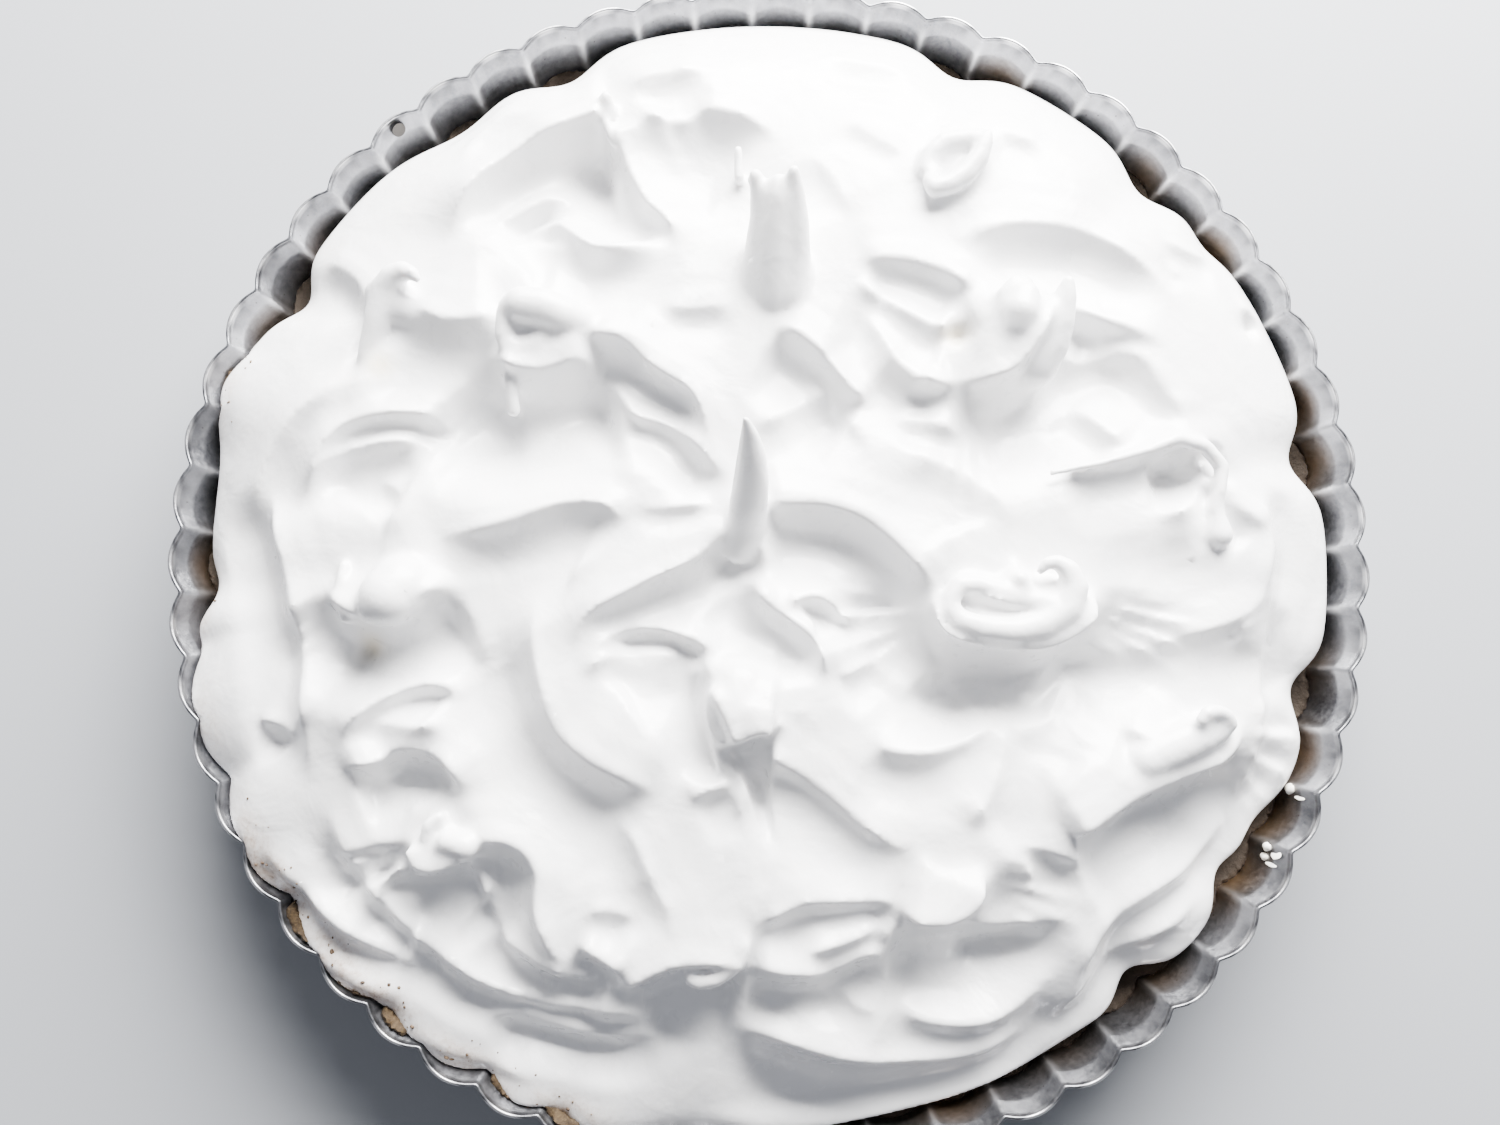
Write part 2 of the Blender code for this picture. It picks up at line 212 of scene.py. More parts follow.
def fluteWave(angle):
    # 0 on an inward ridge of the wall, 1 on the bulge between two ridges
    phase = (angle - math.radians(tin["firstRidge"])) * tin["flutes"] / wholeCircle
    soft = tin["foldRound"]
    rise = (np.sin(math.pi * phase) ** 2 + soft ** 2) ** 0.375 - soft ** 0.75
    return rise / ((1 + soft ** 2) ** 0.375 - soft ** 0.75)


def innerWall(height):
    # radius of the inner face on the bulges, below the lip
    low = (tin["sheet"] + tin["footRound"], tin["footRadius"] - tin["sheet"])
    high = (tin["wallTop"], tin["wallRadius"] - tin["sheet"])
    return low[1] + (height - low[0]) * (high[1] - low[1]) / (high[0] - low[0])


def innerFace(angle, height):
    # radius of the inner face with its ridges and lip
    flare = np.clip(height - tin["wallTop"], 0, None) * tin["lipFlare"] / tin["lipHeight"]
    drawnIn = tin["fluteDepth"] * (1.0 - fluteWave(angle))
    return innerWall(np.minimum(height, tin["wallTop"])) + flare - drawnIn


def turned(profile, columns):
    # turn (radius, height) pairs, both ends on the axis, into a closed shell
    shape = bmesh.new()
    points = [shape.verts.new((radius, 0.0, height)) for radius, height in profile]
    edges = [shape.edges.new(pair) for pair in zip(points, points[1:])]
    bmesh.ops.spin(shape, geom=points + edges, cent=(0, 0, 0), axis=(0, 0, 1),
                   angle=wholeCircle, steps=columns, use_merge=True)
    bmesh.ops.remove_doubles(shape, verts=shape.verts, dist=1e-4)
    bmesh.ops.recalc_face_normals(shape, faces=shape.faces)
    return shape


def arc(centre, radius, start, end, steps):
    # points on an arc in a profile, angles from the radius axis upwards
    points = []
    for step in range(steps + 1):
        turn = math.radians(start + (end - start) * step / steps)
        points.append((centre[0] + radius * math.cos(turn), centre[1] + radius * math.sin(turn)))
    return points


def tinMaterial():
    recipe = Recipe("dullTinPlate")
    cloud = recipe.noise(90.0, 4.0, 0.6)
    grain = recipe.noise(900.0, 3.0, 0.65)
    pits = recipe.spread(recipe.cells(420.0), 0.03, 0.12, 1.0, 0.0)
    pitAreas = recipe.spread(recipe.noise(60.0, 2.0), 0.4, 0.55)
    specks = recipe.sum("MULTIPLY", pits, pitAreas)
    tone = recipe.mix(recipe.spread(cloud, 0.3, 0.7), (0.105, 0.108, 0.12), (0.24, 0.244, 0.262))
    tone = recipe.mix(recipe.spread(grain, 0.35, 0.75, 0.0, 0.3), tone, (0.36, 0.36, 0.365))
    # painted shade: the wall darker low down, where the gap under the meringue keeps the light off, and
    # darker round -72 degrees
    tone = recipe.mix(recipe.attribute("deep"), tone, (0.045, 0.04, 0.035))
    # painted shade: dark bands beside the ridges and a dark line just inside the rim
    tone = recipe.mix(recipe.attribute("paintedCreaseShade"), tone, (0.06, 0.06, 0.065))
    tone = recipe.mix(recipe.sum("MULTIPLY", specks, 0.75), tone, (0.05, 0.045, 0.04))
    # painted highlight: the ridge tops and the rolled rim lighter
    tone = recipe.mix(recipe.attribute("worn"), tone, (0.55, 0.55, 0.56))
    amber = recipe.sum("MULTIPLY", recipe.attribute("amber"), recipe.spread(cloud, 0.2, 0.6, 0.6, 1.0))
    tone = recipe.mix(amber, tone, (0.42, 0.215, 0.035))
    soot = recipe.sum("MULTIPLY", recipe.attribute("soot"), recipe.spread(grain, 0.3, 0.6, 0.4, 1.0))
    tone = recipe.mix(soot, tone, (0.06, 0.06, 0.065))
    rough = recipe.spread(grain, 0.3, 0.7, 0.28, 0.42)
    relief = recipe.bump(grain, 0.12, 0.0003)
    relief = recipe.bump(cloud, 0.2, 0.0006, relief)
    recipe.put(baseColor=tone, metallic=0.95, roughness=rough, normal=relief)
    return recipe.material


def makeTin():
    bead = tin["bead"]
    foot = tin["footRadius"]
    wall = tin["wallRadius"]
    top = tin["wallTop"]
    footRound = tin["footRound"]
    sheet = tin["sheet"]
    beadCentre = (tin["rimRadius"] - bead, tin["rimHeight"] - bead)
    profile = [(0.0, 0.0)]
    profile += arc((foot - footRound, footRound), footRound, -90, -8, 3)
    profile += [(wall - 0.15, top - 0.8), (wall + 0.25, top + 0.1), (tin["rimRadius"] - 0.75, top + 2.2)]
    profile += arc(beadCentre, bead, -60, 200, 7)
    profile += [(tin["rimRadius"] - 1.25, top + 2.1), (wall - sheet + 0.35, top + 0.35),
                (wall - sheet - 0.05, top - 0.6), (innerWall(14.0), 14.0)]
    profile += arc((foot - sheet - footRound, sheet + footRound), footRound, 0, -90, 3)
    profile += [(0.0, sheet)]
    shape = turned(profile, tin["flutes"] * tin["columnsPerFlute"])
    floorRadius = foot - sheet - footRound - 1.0
    for vert in shape.verts:
        radius = vert.co.xy.length
        if radius > floorRadius:
            drawnIn = tin["fluteDepth"] * (1.0 - fluteWave(math.atan2(vert.co.y, vert.co.x)))
            vert.co.xy *= (radius - drawnIn) / radius
    piece = finishPiece(shape, "tinShell", tinMaterial(), 50)
    places = vertexPlaces(piece.data) / mm
    degrees = np.degrees(np.arctan2(places[:, 1], places[:, 0]))
    height = places[:, 2]
    amber = patchwork(degrees, tin["amberPatches"])
    soot = patchwork(degrees, tin["sootPatches"])
    radius = np.hypot(places[:, 0], places[:, 1])
    wave = fluteWave(np.radians(degrees))
    wall = easeStep((tin["wallTop"] + 1.5 - height) / 2.5)
    # painted highlight along the ridge tops
    ridge = (1 - wave) ** 5 * wall
    lip = easeStep((height - tin["wallTop"]) / 1.2)
    # painted shade in the hollows beside each ridge, and along the inside of the lip
    paintedCreaseShade = np.exp(-((wave - 0.32) / 0.2) ** 2) * wall
    paintedLipShade = np.exp(-((radius - tin["rimRadius"] + 1.5) / 0.3) ** 2) * lip
    paintAttribute(piece.data, "paintedCreaseShade", np.maximum(0.6 * paintedCreaseShade, 0.65 * paintedLipShade))
    # painted highlight along the rolled rim
    roll = easeStep((height - tin["rimHeight"] + 0.9) / 0.5)
    roll = roll * easeStep((radius - tin["rimRadius"] + 1.2) / 0.4)
    paintAttribute(piece.data, "worn", np.maximum(0.5 * ridge, 0.9 * roll))
    # painted shade low on the wall, in the gap under the meringue's edge, and a darker band of wall round
    # -72 degrees
    deep = 1 - easeStep((height - 10.0) / 10.0)
    paintAttribute(piece.data, "deep", np.maximum(0.6 * deep, 0.25 * bell(degrees, -72, 45)))
    inside = np.where(radius < innerFace(np.radians(degrees), height) + tin["sheet"] / 2, 1.0, 0.08)
    paintAttribute(piece.data, "amber", inside * amber * (1 - easeStep((height - 21.5) / 6.5)))
    paintAttribute(piece.data, "soot", inside * soot * (1 - easeStep((height - 20.0) / 7.0)))
    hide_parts("tin")
    print("tin made")


crust = {
    "gap": 0.35,             # clearance to the tin
    "edgeGap": 0.12,         # clearance of its browned edge
    "top": 18.0,             # pastry and pears, up to the meringue
    "low": 19.8,             # edge where the meringue hides it
    "high": 30.3,            # edge where it climbs on the lip
    "columnsPerFlute": 20,
    "crag": 0.35,            # roughness of its edge
    "climbGain": 2.2,        # the higher, the wider and flatter its climbs
    # where the edge climbs: angle, half width and share of the full climb
    "climbs": [(164.5, 2, 0.75), (184, 3, 0.2), (213.5, 2.4, 0.9), (220, 2.8, 1.0), (226.5, 2.8, 1.0),
               (232, 1.8, 0.95), (239, 1.3, 0.65), (244.3, 2.2, 0.85), (249.7, 1.9, 0.95)],
}


def crustHeight(angle):
    climb = patchwork(np.degrees(angle), crust["climbs"], crust["climbGain"])
    return crust["low"] + (crust["high"] - crust["low"]) * climb


def crustMaterial():
    recipe = Recipe("brownedShortcrust")
    blotch = recipe.noise(160.0, 4.0, 0.6)
    grain = recipe.noise(1400.0, 4.0, 0.7)
    tone = recipe.mix(recipe.spread(blotch, 0.35, 0.65), (0.022, 0.012, 0.004), (0.055, 0.031, 0.01))
    tone = recipe.mix(recipe.spread(grain, 0.5, 0.75, 0.0, 0.8), tone, (0.12, 0.08, 0.032))
    pores = recipe.spread(recipe.cells(1100.0), 0.05, 0.22, 0.75, 0.0)
    tone = recipe.mix(pores, tone, (0.025, 0.015, 0.01))
    # painted shade: the crust darker low down, in the gap under the meringue's edge
    tone = recipe.mix(recipe.attribute("deep"), tone, (0.02, 0.011, 0.004))
    relief = recipe.bump(grain, 0.6, 0.0004)
    relief = recipe.bump(blotch, 0.5, 0.001, relief)
    recipe.put(baseColor=tone, roughness=0.82, normal=relief)
    return recipe.material


def makeCrust():
    low = tin["sheet"] + crust["gap"]
    foot = tin["footRadius"] - tin["sheet"] - tin["footRound"] - crust["gap"]
    step = low + tin["footRound"]
    # radii that only mark the rings of its edge, until each takes its place beside the wall
    rings = {"wall": 220.0, "crest": 200.0, "inside": 180.0, "seat": 160.0}
    profile = [(0.0, low), (foot, low), (innerWall(step) - crust["gap"], step), (rings["wall"], 3.0),
               (rings["crest"], 3.5), (rings["inside"], 4.0), (rings["seat"], 5.0), (0.0, crust["top"])]
    shape = turned(profile, tin["flutes"] * crust["columnsPerFlute"])
    draw = random.Random(7)
    for vert in shape.verts:
        radius = vert.co.xy.length
        if radius < 1.0:
            continue
        angle = math.atan2(vert.co.y, vert.co.x)
        top = float(crustHeight(np.array([angle]))[0])
        drawnIn = tin["fluteDepth"] * (1.0 - fluteWave(angle))
        crag = draw.uniform(-1, 1) * crust["crag"]
        wall = float(innerFace(angle, top)) - crust["edgeGap"]
        height = vert.co.z
        if radius > rings["wall"] - 5:
            newRadius, height = wall, top - 0.7 + crag
        elif radius > rings["crest"] - 5:
            newRadius, height = wall - 0.9 + crag, top + crag
        elif radius > rings["inside"] - 5:
            newRadius, height = wall - 2.4 + crag, top - 0.6 + crag
        elif radius > rings["seat"] - 5:
            newRadius, height = wall - 4.2, crust["top"]
        else:
            newRadius = radius - drawnIn
        vert.co.xy *= newRadius / radius
        vert.co.z = height
    piece = finishPiece(shape, "crustBase", crustMaterial(), 60)
    height = vertexPlaces(piece.data)[:, 2] / mm
    # painted shade on the crust below the meringue's edge
    paintAttribute(piece.data, "deep", 1 - easeStep((height - 22.0) / 3.5))
    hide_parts("tart_base")
    print("crust made")
    return piece


meringue = {
    "edgeRadius": 133.0,
    "edgeHeight": 25.0,
    "crownHeight": 48.0,
    "shoulder": 4.0,         # the higher, the flatter the crown
    "shoulderPower": 0.8,
    "tuck": 5.0,             # how far the side turns in below
    # where its edge is smeared out into the flutes: angle, half width and share
    "films": [(165, 5, 0.5), (188, 4, 0.6), (198, 8, 0.9), (211, 9, 1.0), (224, 9, 1.0), (236, 7, 0.85),
              (246, 5, 0.75), (253, 5, 0.7)],
    "filmReach": 7.6,
    "filmRise": 5.0,
    "filmSlope": 1.4,        # how much gentler the mound falls there
    "columns": 1200,
    "rows": 240,
    "voxel": 0.62,
    "smoothing": 3,
    # where the edge draws in: angle, half width and depth
    "dips": [
        (69, 4, 5), (44, 4, 5), (35, 3, 2), (9, 3.5, 6), (-16, 3.5, 6), (-31, 4, 4), (-37, 3, 5),
        (-51, 3, 5.5), (-60, 8, 2), (-78, 10, 1.5), (-174, 3, 5.5), (-140, 32, 1.5),
        (153, 3, 5.5), (127, 6, 4), (114, 4.5, 5.5),
    ],
    # yolky pits: x, y and reach
    "creamPits": [(-90, -26, 3), (-90, 37, 3), (39, 43, 3)],
    # where crumbs and fat stain the edge: angle, half width, strength
    "stainPatches": [(165, 4, 0.35), (187, 5, 0.6), (198, 4, 0.3), (214, 6, 1.0), (227, 8, 0.9),
        (240, 5, 0.8), (250, 4, 0.8)],
    "foldScale": 1.36,       # multiplies the drop of every fold
    # shares of a fold's reach that its fall, its low side and its high side take
    "fallShare": 1.25,
    "lowStretch": 2.2,
    "highStretch": 1.5,
    "crestShare": 0.45,      # share of a fold's drop that stands over the mound
    "fallPower": 2.2,        # the higher, the steeper a fold falls at its crest
    "pathSpacing": 1.5,      # between the places on a fold's smooth curve
    "streaks": 0.13,         # height of the streaks along the folds
    "streakFade": 7.0,       # distance from a fold over which they fade
    "softening": 1,          # rounds that even out the relief
    "creaseRounds": 15,      # rounds that fill the hollows
    "trim": 1.2,             # height over the base at which the skin is cut off
    "triangles": 185000,
    # folds of the spatula, each a curve with its high side on the left: its points, drop to its right,
    # reach of the low and the high side, lean over the low side, shares of its length that its ends take
    # to rise and to fade
    "folds": [
        # northwest
        (((-76, 66), (-74, 75), (-69, 83), (-62, 89), (-54, 94), (-45, 98), (-40, 99)),
         10.5, 9, 7, 1, 0.3, 0.05),
        (((-38.5, 97), (-36, 91), (-33.5, 84), (-30, 77), (-26, 72.5), (-23.5, 67.5), (-24, 62.5)),
         6, 6, 6, 1, 0.1, 0.3),
        (((-70, 62), (-65, 68.5), (-58.5, 71.7), (-52, 71.8), (-48, 68.6), (-43.5, 64.6), (-37.5, 62.8),
          (-30, 64.2), (-24.5, 67)), 5, 6, 3.5, 0, 0.3, 0.3),
        (((-68, 69), (-62.5, 74.2), (-55, 79), (-47, 80)), 3.5, 2.5, 3, 0, 0.3, 0.3),
        (((-65, 70), (-58, 75.5), (-50, 77)), 3, 2, 3, 0, 0.3, 0.3),
        (((-75, 85), (-72, 94), (-66, 100), (-58, 104)), 2, 5, 4, 0, 0.3, 0.3),
        (((-34, 102), (-28, 97.5), (-22, 96.5), (-18, 99), (-10, 98), (-4, 95), (1, 91)),
         4.5, 8, 5, 0.5, 0.2, 0.3),
        (((-37, 105), (-31, 109), (-22, 110.5), (-15, 111)), 3.5, 8, 4, 0, 0.3, 0.3),
        (((-85, 51), (-80, 48.5), (-74, 46), (-67, 46.5), (-62, 47.5)), 6, 12, 7, 0, 0.35, 0.2),
        (((-109, 66), (-101, 61.5), (-96, 56), (-94.5, 48)), 2.5, 3, 4, 0, 0.3, 0.2),
        (((-106, 11), (-102, 17.7), (-97, 22.6), (-89.7, 25.1), (-81, 25.4), (-76, 24), (-72, 21)),
         5, 3, 6, 0, 0.3, 0.2),
        (((-107, 4), (-103.5, 12.5), (-98.5, 16.5), (-91, 19), (-82, 19.6), (-75, 18)),
         8, 6, 4, 0, 0.3, 0.3),
        (((-92, 12), (-86, 9), (-83.5, 6), (-84.7, 2), (-88, -1)), 3, 3, 4, 0, 0.3, 0.3),
        (((-120, -2), (-117, 12), (-110, 24), (-103, 30), (-97, 36)), 3, 6, 5, 0, 0.3, 0.2),
        # round the centre
        (((-66, 40), (-60, 35), (-53, 34), (-46, 36), (-39, 38)), 11, 10, 8, 0, 0.25, 0.2),
        (((-47, 43), (-40, 43), (-36, 42.3), (-32.8, 40.5), (-28.5, 36.2), (-24.5, 33.3), (-20, 30.5),
          (-17.5, 27), (-16, 22), (-15.3, 15)), 6.5, 5, 6, 1, 0.2, 0.3),
        (((-40, 37), (-34.5, 28.7), (-31.5, 25), (-26, 23.3), (-21, 20.3), (-17, 16.5), (-13.7, 12),
          (-11.5, 8.5)), 5, 4, 3.5, 0.5, 0.25, 0.2),
        (((-76, -3), (-62, -0.5), (-51, 3.5), (-45, 4.7), (-38, 3.8), (-33, -1)), 5, 7, 5, 0, 0.3, 0.15),
        (((-33, 3.3), (-24.5, 3.3), (-17, 4.1), (-12, 3.7)), 1.5, 2, 2, 0, 0.3, 0.3),
        (((-45.5, -29), (-44, -25.5), (-42, -21), (-38.5, -18), (-33.7, -15.5), (-27, -12), (-20, -8.8),
          (-15, -4.7), (-10, 0.5)), 6, 5, 6, 0, 0.35, 0.1),
        (((-4.5, 4.5), (1.5, 4.6), (7, 4.5), (13, 3.3), (19, 0.8), (24, -3), (28, -7.2), (31.3, -11.3),
          (34, -15.5), (35, -19)), 7, 8, 8, 0.5, 0.1, 0.25),
        (((-7.8, -11.3), (-4.5, -15.5), (-0.3, -18.8), (4, -22), (7.2, -24.7), (8.8, -28), (9.3, -31.3),
          (10, -34.5)), 6, 6, 3, 0.5, 0.2, 0.2),
        (((1.5, -19.5), (3, -16.7), (7.2, -15.5), (11.3, -17.2), (14.7, -20.5), (15.8, -24)),
         6, 3.5, 4, 0.5, 0.2, 0.3),
        (((11, -33.5), (16, -31.5), (20, -28.5)), 2.5, 3, 3, 0, 0.3, 0.3),
        (((-41, -29), (-37.8, -25.1), (-34.5, -23), (-30.3, -22.2), (-25.3, -22.6), (-20.3, -24.3),
          (-16, -26.5), (-12.5, -29)), 5.5, 3, 4, 0.5, 0.25, 0.3),
        (((-41.5, -34), (-39.5, -30.5), (-36, -28.4), (-28.7, -28), (-22.8, -28.4), (-18, -30)),
         4.5, 6, 2.5, 0, 0.3, 0.3),
        (((-52, -12), (-53, -24), (-51, -36), (-47, -45), (-40, -51), (-33, -54.5), (-25, -58)),
         5.5, 7.5, 8, 0, 0.35, 0.2),
        (((-2, 45), (4, 42), (10, 37), (15, 31), (20, 27)), 6.5, 6, 5, 0, 0.2, 0.15),
        (((-8, 20), (-2, 23), (3, 26), (10.5, 31)), 3, 6, 2.5, 0, 0.3, 0.1),
        (((-28, 49), (-20, 48.5), (-10, 49.5)), 2, 3, 4, 0, 0.3, 0.3),
        (((-12.8, -33), (-14.5, -37.2), (-14.5, -41.3), (-12.8, -46.3), (-10.3, -50.5), (-9.7, -56)),
         6, 4, 6, 1.5, 0.2, 0.2),
        (((-12, -45.5), (-8.7, -44.3), (-5.3, -43), (-0.8, -43.2)), 9, 8, 8, 2.5, 0.1, 0.2),
        (((-4, -48.8), (0, -50.7), (4.7, -53.4), (10, -57), (14, -60.5), (19, -64.7), (24, -68),
          (30, -70)), 3.2, 6, 7, 0.5, 0.1, 0.3),
        (((-20, -59), (-15, -56.5), (-10, -55)), 3, 4, 3, 0, 0.3, 0.2),
        # northeast
        (((36, 33.5), (43, 32), (50, 34), (55, 39), (59, 46), (62, 54)), 11, 9, 7, 0.5, 0.35, 0.1),
        (((17.5, 60.3), (22.2, 61.2), (28.8, 60.8), (34.7, 59.1), (39.7, 56.2), (44, 53)),
         4.5, 5, 5, 0.5, 0.2, 0.2),
        (((15.5, 55.8), (21.3, 52.8), (28, 48.7), (33, 45.8), (38, 44)), 3.5, 4, 4, 0, 0.3, 0.1),
        (((14.7, 51.2), (19.7, 47), (23, 42), (25.5, 37), (28.8, 33.7), (32.2, 31.6), (38, 31)),
         4, 5.5, 5, 0, 0.3, 0.2),
        (((30, 33.5), (34, 31.5), (38.5, 32)), 3, 2.5, 3, 0, 0.3, 0.3),
        (((38, 64), (44, 67), (52, 70), (61, 71), (70, 70.5), (77, 68), (85, 63), (90.5, 58), (97, 51)),
         5, 8, 7, 0.3, 0.2, 0.4),
        (((66, 48.5), (71.5, 47.8), (76.5, 44.5), (81.5, 41.2), (87, 37.8)), 2, 4, 5, 0, 0.3, 0.3),
        (((62, 43), (65, 40.8), (70, 40), (75.5, 41.2), (80.5, 40.8), (84, 37.8), (88, 32), (91.3, 27.8),
          (93.5, 24.5)), 3.2, 5, 5, 0, 0.15, 0.15),
        (((68, 29.5), (69.7, 27), (73, 22), (76.5, 18)), 3.5, 3.5, 4, 0, 0.25, 0.25),
        (((60.5, 12), (67, 13.3), (73, 14.5), (78, 15.8), (82, 17.8), (86.3, 20.3), (90.5, 22),
          (95.5, 21.6), (99.7, 20.8), (102.3, 19), (102.6, 16), (101, 13)), 3, 5, 2.5, 0.5, 0.15, 0.1),
        (((82.6, 15.3), (85.5, 17), (90, 18.7), (92.2, 18.3), (94.7, 16.2), (95.9, 12.8), (94.7, 9.5),
          (92, 7.5)), 3.5, 6, 3, 0, 0.15, 0.3),
        (((97, 14.5), (95.5, 10.3), (92.2, 6.2), (88, 3.7), (83, 2.8)), 5, 6, 4, 0, 0.2, 0.3),
        (((100.5, 12.8), (101.5, 9.5), (103, 6.2), (108, 2.8), (110.5, 0)), 2.5, 4, 4, 0, 0.2, 0.3),
        (((21, 19.5), (30, 15.5), (38, 12), (45, 7.5), (49, 3), (49.5, -3)), 2.5, 7, 6, 0, 0.4, 0.3),
        (((25, 23.5), (33, 23), (42, 20.5)), 2, 3, 3, 0, 0.3, 0.3),
        (((92, 72), (98, 69.5), (107, 69)), 2, 4, 4, 0, 0.3, 0.3),
        (((92.6, 64), (97.2, 61.6)), 1.5, 2, 3, 0, 0.3, 0.3),
        (((112, 55.5), (116, 56), (120, 53)), 3, 4, 3, 0, 0.3, 0.3),
        (((11, 117), (20, 115.5), (33, 114)), 1.5, 4, 4, 0, 0.3, 0.3),
        (((52, 97), (57, 94.8), (64, 94)), 1.5, 4, 4, 0, 0.3, 0.3),
        (((8, 88.7), (13, 80.3), (17, 72)), 1.5, 5, 5, 0, 0.3, 0.3),
        (((14.7, 97.8), (20, 94.5), (30, 88.7)), 1.2, 3, 3, 0, 0.3, 0.2),
        # southeast
        (((26, -39), (28.8, -34.7), (33.8, -32), (36.5, -30)), 3.5, 5, 4, 0, 0.3, 0.2),
        (((19, -46.5), (24, -48.7), (32, -48.7), (40, -46.2), (48, -41.5)), 3.5, 5, 2.5, 0, 0.2, 0.2),
        (((34.8, -14), (34.5, -18), (37, -22), (43, -23.8), (50, -24.7), (56.5, -24.3), (61.5, -22.2),
          (65, -19.5), (67, -16), (67.5, -12)), 10, 9, 7, 3, 0.15, 0.2),
        (((36.3, -13.5), (40.5, -14.7), (48, -16.8), (53, -17.6)), 4, 3, 4, 0.5, 0.15, 0.2),
        (((67, -21), (69, -25.5), (73, -26.8), (80, -26.8), (88, -24), (95, -22), (101, -20),
          (106, -17.5), (110, -13.5), (112.3, -9), (112.6, -3), (110.5, 3)), 3.6, 8, 6, 0, 0.1, 0.3),
        (((103, -20.5), (104, -23), (103, -26)), 3, 1.5, 3, 0, 0.3, 0.3),
        (((60, -66), (65, -63.5), (71, -60), (77, -57), (84, -54), (91, -51.5), (97, -49.5),
          (101, -46.5), (102, -43), (100, -40)), 8.5, 9, 7, 2, 0.1, 0.3),
        (((74.7, -43.2), (78, -45.5), (82.5, -49)), 2.5, 3, 5, 0, 0.3, 0.3),
        (((62, -40), (65, -45), (69, -49)), 2.5, 5, 4, 0, 0.3, 0.3),
        (((39.5, -65), (43.5, -59), (47, -51.5), (49, -44.5), (51.5, -40)), 3.5, 6, 4, 0, 0.2, 0.3),
        (((50, -71.5), (51.5, -69.5), (56.5, -69.7), (63, -71.8), (70, -73)), 2.5, 3, 5, 0, 0.2, 0.4),
        (((24, -80.8), (29, -82.2), (34, -82.3), (38.8, -80), (41, -76), (41.5, -71)),
         8, 8, 6, 2.5, 0.2, 0.3),
        (((-7, -86.5), (-3, -83.8), (4.7, -80.1), (12, -79.7), (19.7, -79.7), (25.5, -81)),
         4, 3.5, 6, 0, 0.2, 0.2),
        (((4, -91), (11.3, -88.8), (17.2, -86.8), (21.5, -84.5)), 3.5, 3, 4, 0, 0.3, 0.2),
        (((-6, -93.5), (0, -94.8), (8, -95), (13, -93.5), (18, -91.5), (24, -91.5)),
         6, 4.5, 4, 0, 0.1, 0.2),
        (((38, -85), (45, -86), (52, -85.6), (58, -84.8), (64, -83)), 4, 4, 5, 0, 0.2, 0.4),
        (((36, -89.5), (42, -88.3), (50, -87.3), (58, -85.6)), 2, 2, 3, 0, 0.3, 0.3),
        (((13, -97), (13.5, -100), (16.5, -103), (22.5, -104.8)), 2, 3, 3, 0, 0.3, 0.3),
        (((24, -102), (30, -105.7), (38, -107), (45, -106.5), (51.5, -104), (56.5, -99.8), (60, -96)),
         4, 5, 3, 0, 0.2, 0.3),
        (((-12, -106), (0, -109.5), (8, -112.3), (16, -114.3), (28, -115.3), (40, -115), (50, -112),
          (57, -107)), 8, 8, 5, 0, 0.2, 0.2),
        (((63, -102), (65.5, -96.3), (69.7, -89), (74.7, -84), (81.3, -80), (89.7, -75.7), (96.3, -71.3),
          (102, -65.5), (106, -59.5)), 4.5, 4, 5, 0, 0.2, 0.3),
        (((58, -110), (66, -101), (74, -93.5), (82, -90), (90, -86), (97, -79)), 3.5, 5, 4, 0, 0.2, 0.3),
        (((104, -62), (107, -54), (109.5, -45), (110.5, -36), (111, -24), (112.5, -12)),
         2.5, 3, 5, 0, 0.3, 0.3),
        (((109, -14), (113, -2), (110, 10)), 3, 4, 5, 0, 0.3, 0.3),
        # southwest
        (((-99, -12), (-95, -17), (-89, -20), (-82, -19.5), (-76, -15), (-70, -12)),
         9, 7, 7, 0.5, 0.2, 0.2),
        (((-116, -42), (-111, -43), (-107.8, -44.7), (-106, -46.5)), 4.2, 3, 4, 0, 0.3, 0.2),
        (((-115, 12), (-113, 2), (-110, -8), (-106.5, -20), (-104, -32), (-103, -45), (-101.5, -57)),
         5.6, 5, 5, 0, 0.2, 0.3),
        (((-98, -58), (-96, -66), (-92, -73), (-88, -78.5), (-83, -84), (-77, -89), (-70, -94),
          (-62, -98.5), (-52, -101.5), (-40, -103.3), (-26, -104.5), (-12, -106)), 5, 3.6, 5, 0, 0.2, 0.3),
        (((-114, -70), (-108.7, -76), (-102.8, -80.3), (-97.8, -84.5), (-92, -88.5), (-85, -92),
          (-78.5, -95), (-74, -96.5)), 4.4, 3, 4, 0, 0.2, 0.3),
        (((-110, -84), (-102, -92.5), (-94.5, -98.5), (-87, -103), (-77, -108)), 3.4, 2.6, 4, 0, 0.2, 0.3),
        (((-95.6, -99.3), (-86.4, -106.9), (-77.3, -111.8), (-65.7, -116.1), (-50.1, -120.1)),
         2.6, 2.4, 4, 0, 0.2, 0.3),
        (((-65, -106), (-58, -105.6), (-50, -107), (-42, -109), (-33, -109.5), (-22, -109)),
         5.5, 3.5, 3, 0, 0.2, 0.4),
        (((-95, -53.5), (-92, -51.8), (-87, -50.9), (-83, -48.4), (-77, -48.3), (-72, -50.3),
          (-68.7, -53.8), (-66.5, -59)), 7, 5, 4, 0.5, 0.15, 0.25),
        (((-95, -48), (-92.8, -43.8), (-88.7, -39.7), (-86, -38), (-80.3, -35.5), (-75.3, -34.7),
          (-71.2, -35.9), (-69.3, -39)), 4.9, 3, 5, 0, 0.3, 0.15),
        (((-92, -46), (-86, -43), (-78, -43.5), (-70, -43)), 3.5, 5, 3, 0, 0.3, 0.3),
        (((-77, -66), (-75.5, -71), (-72, -70.8), (-67, -68.8)), 7, 8, 6, 3, 0.2, 0.1),
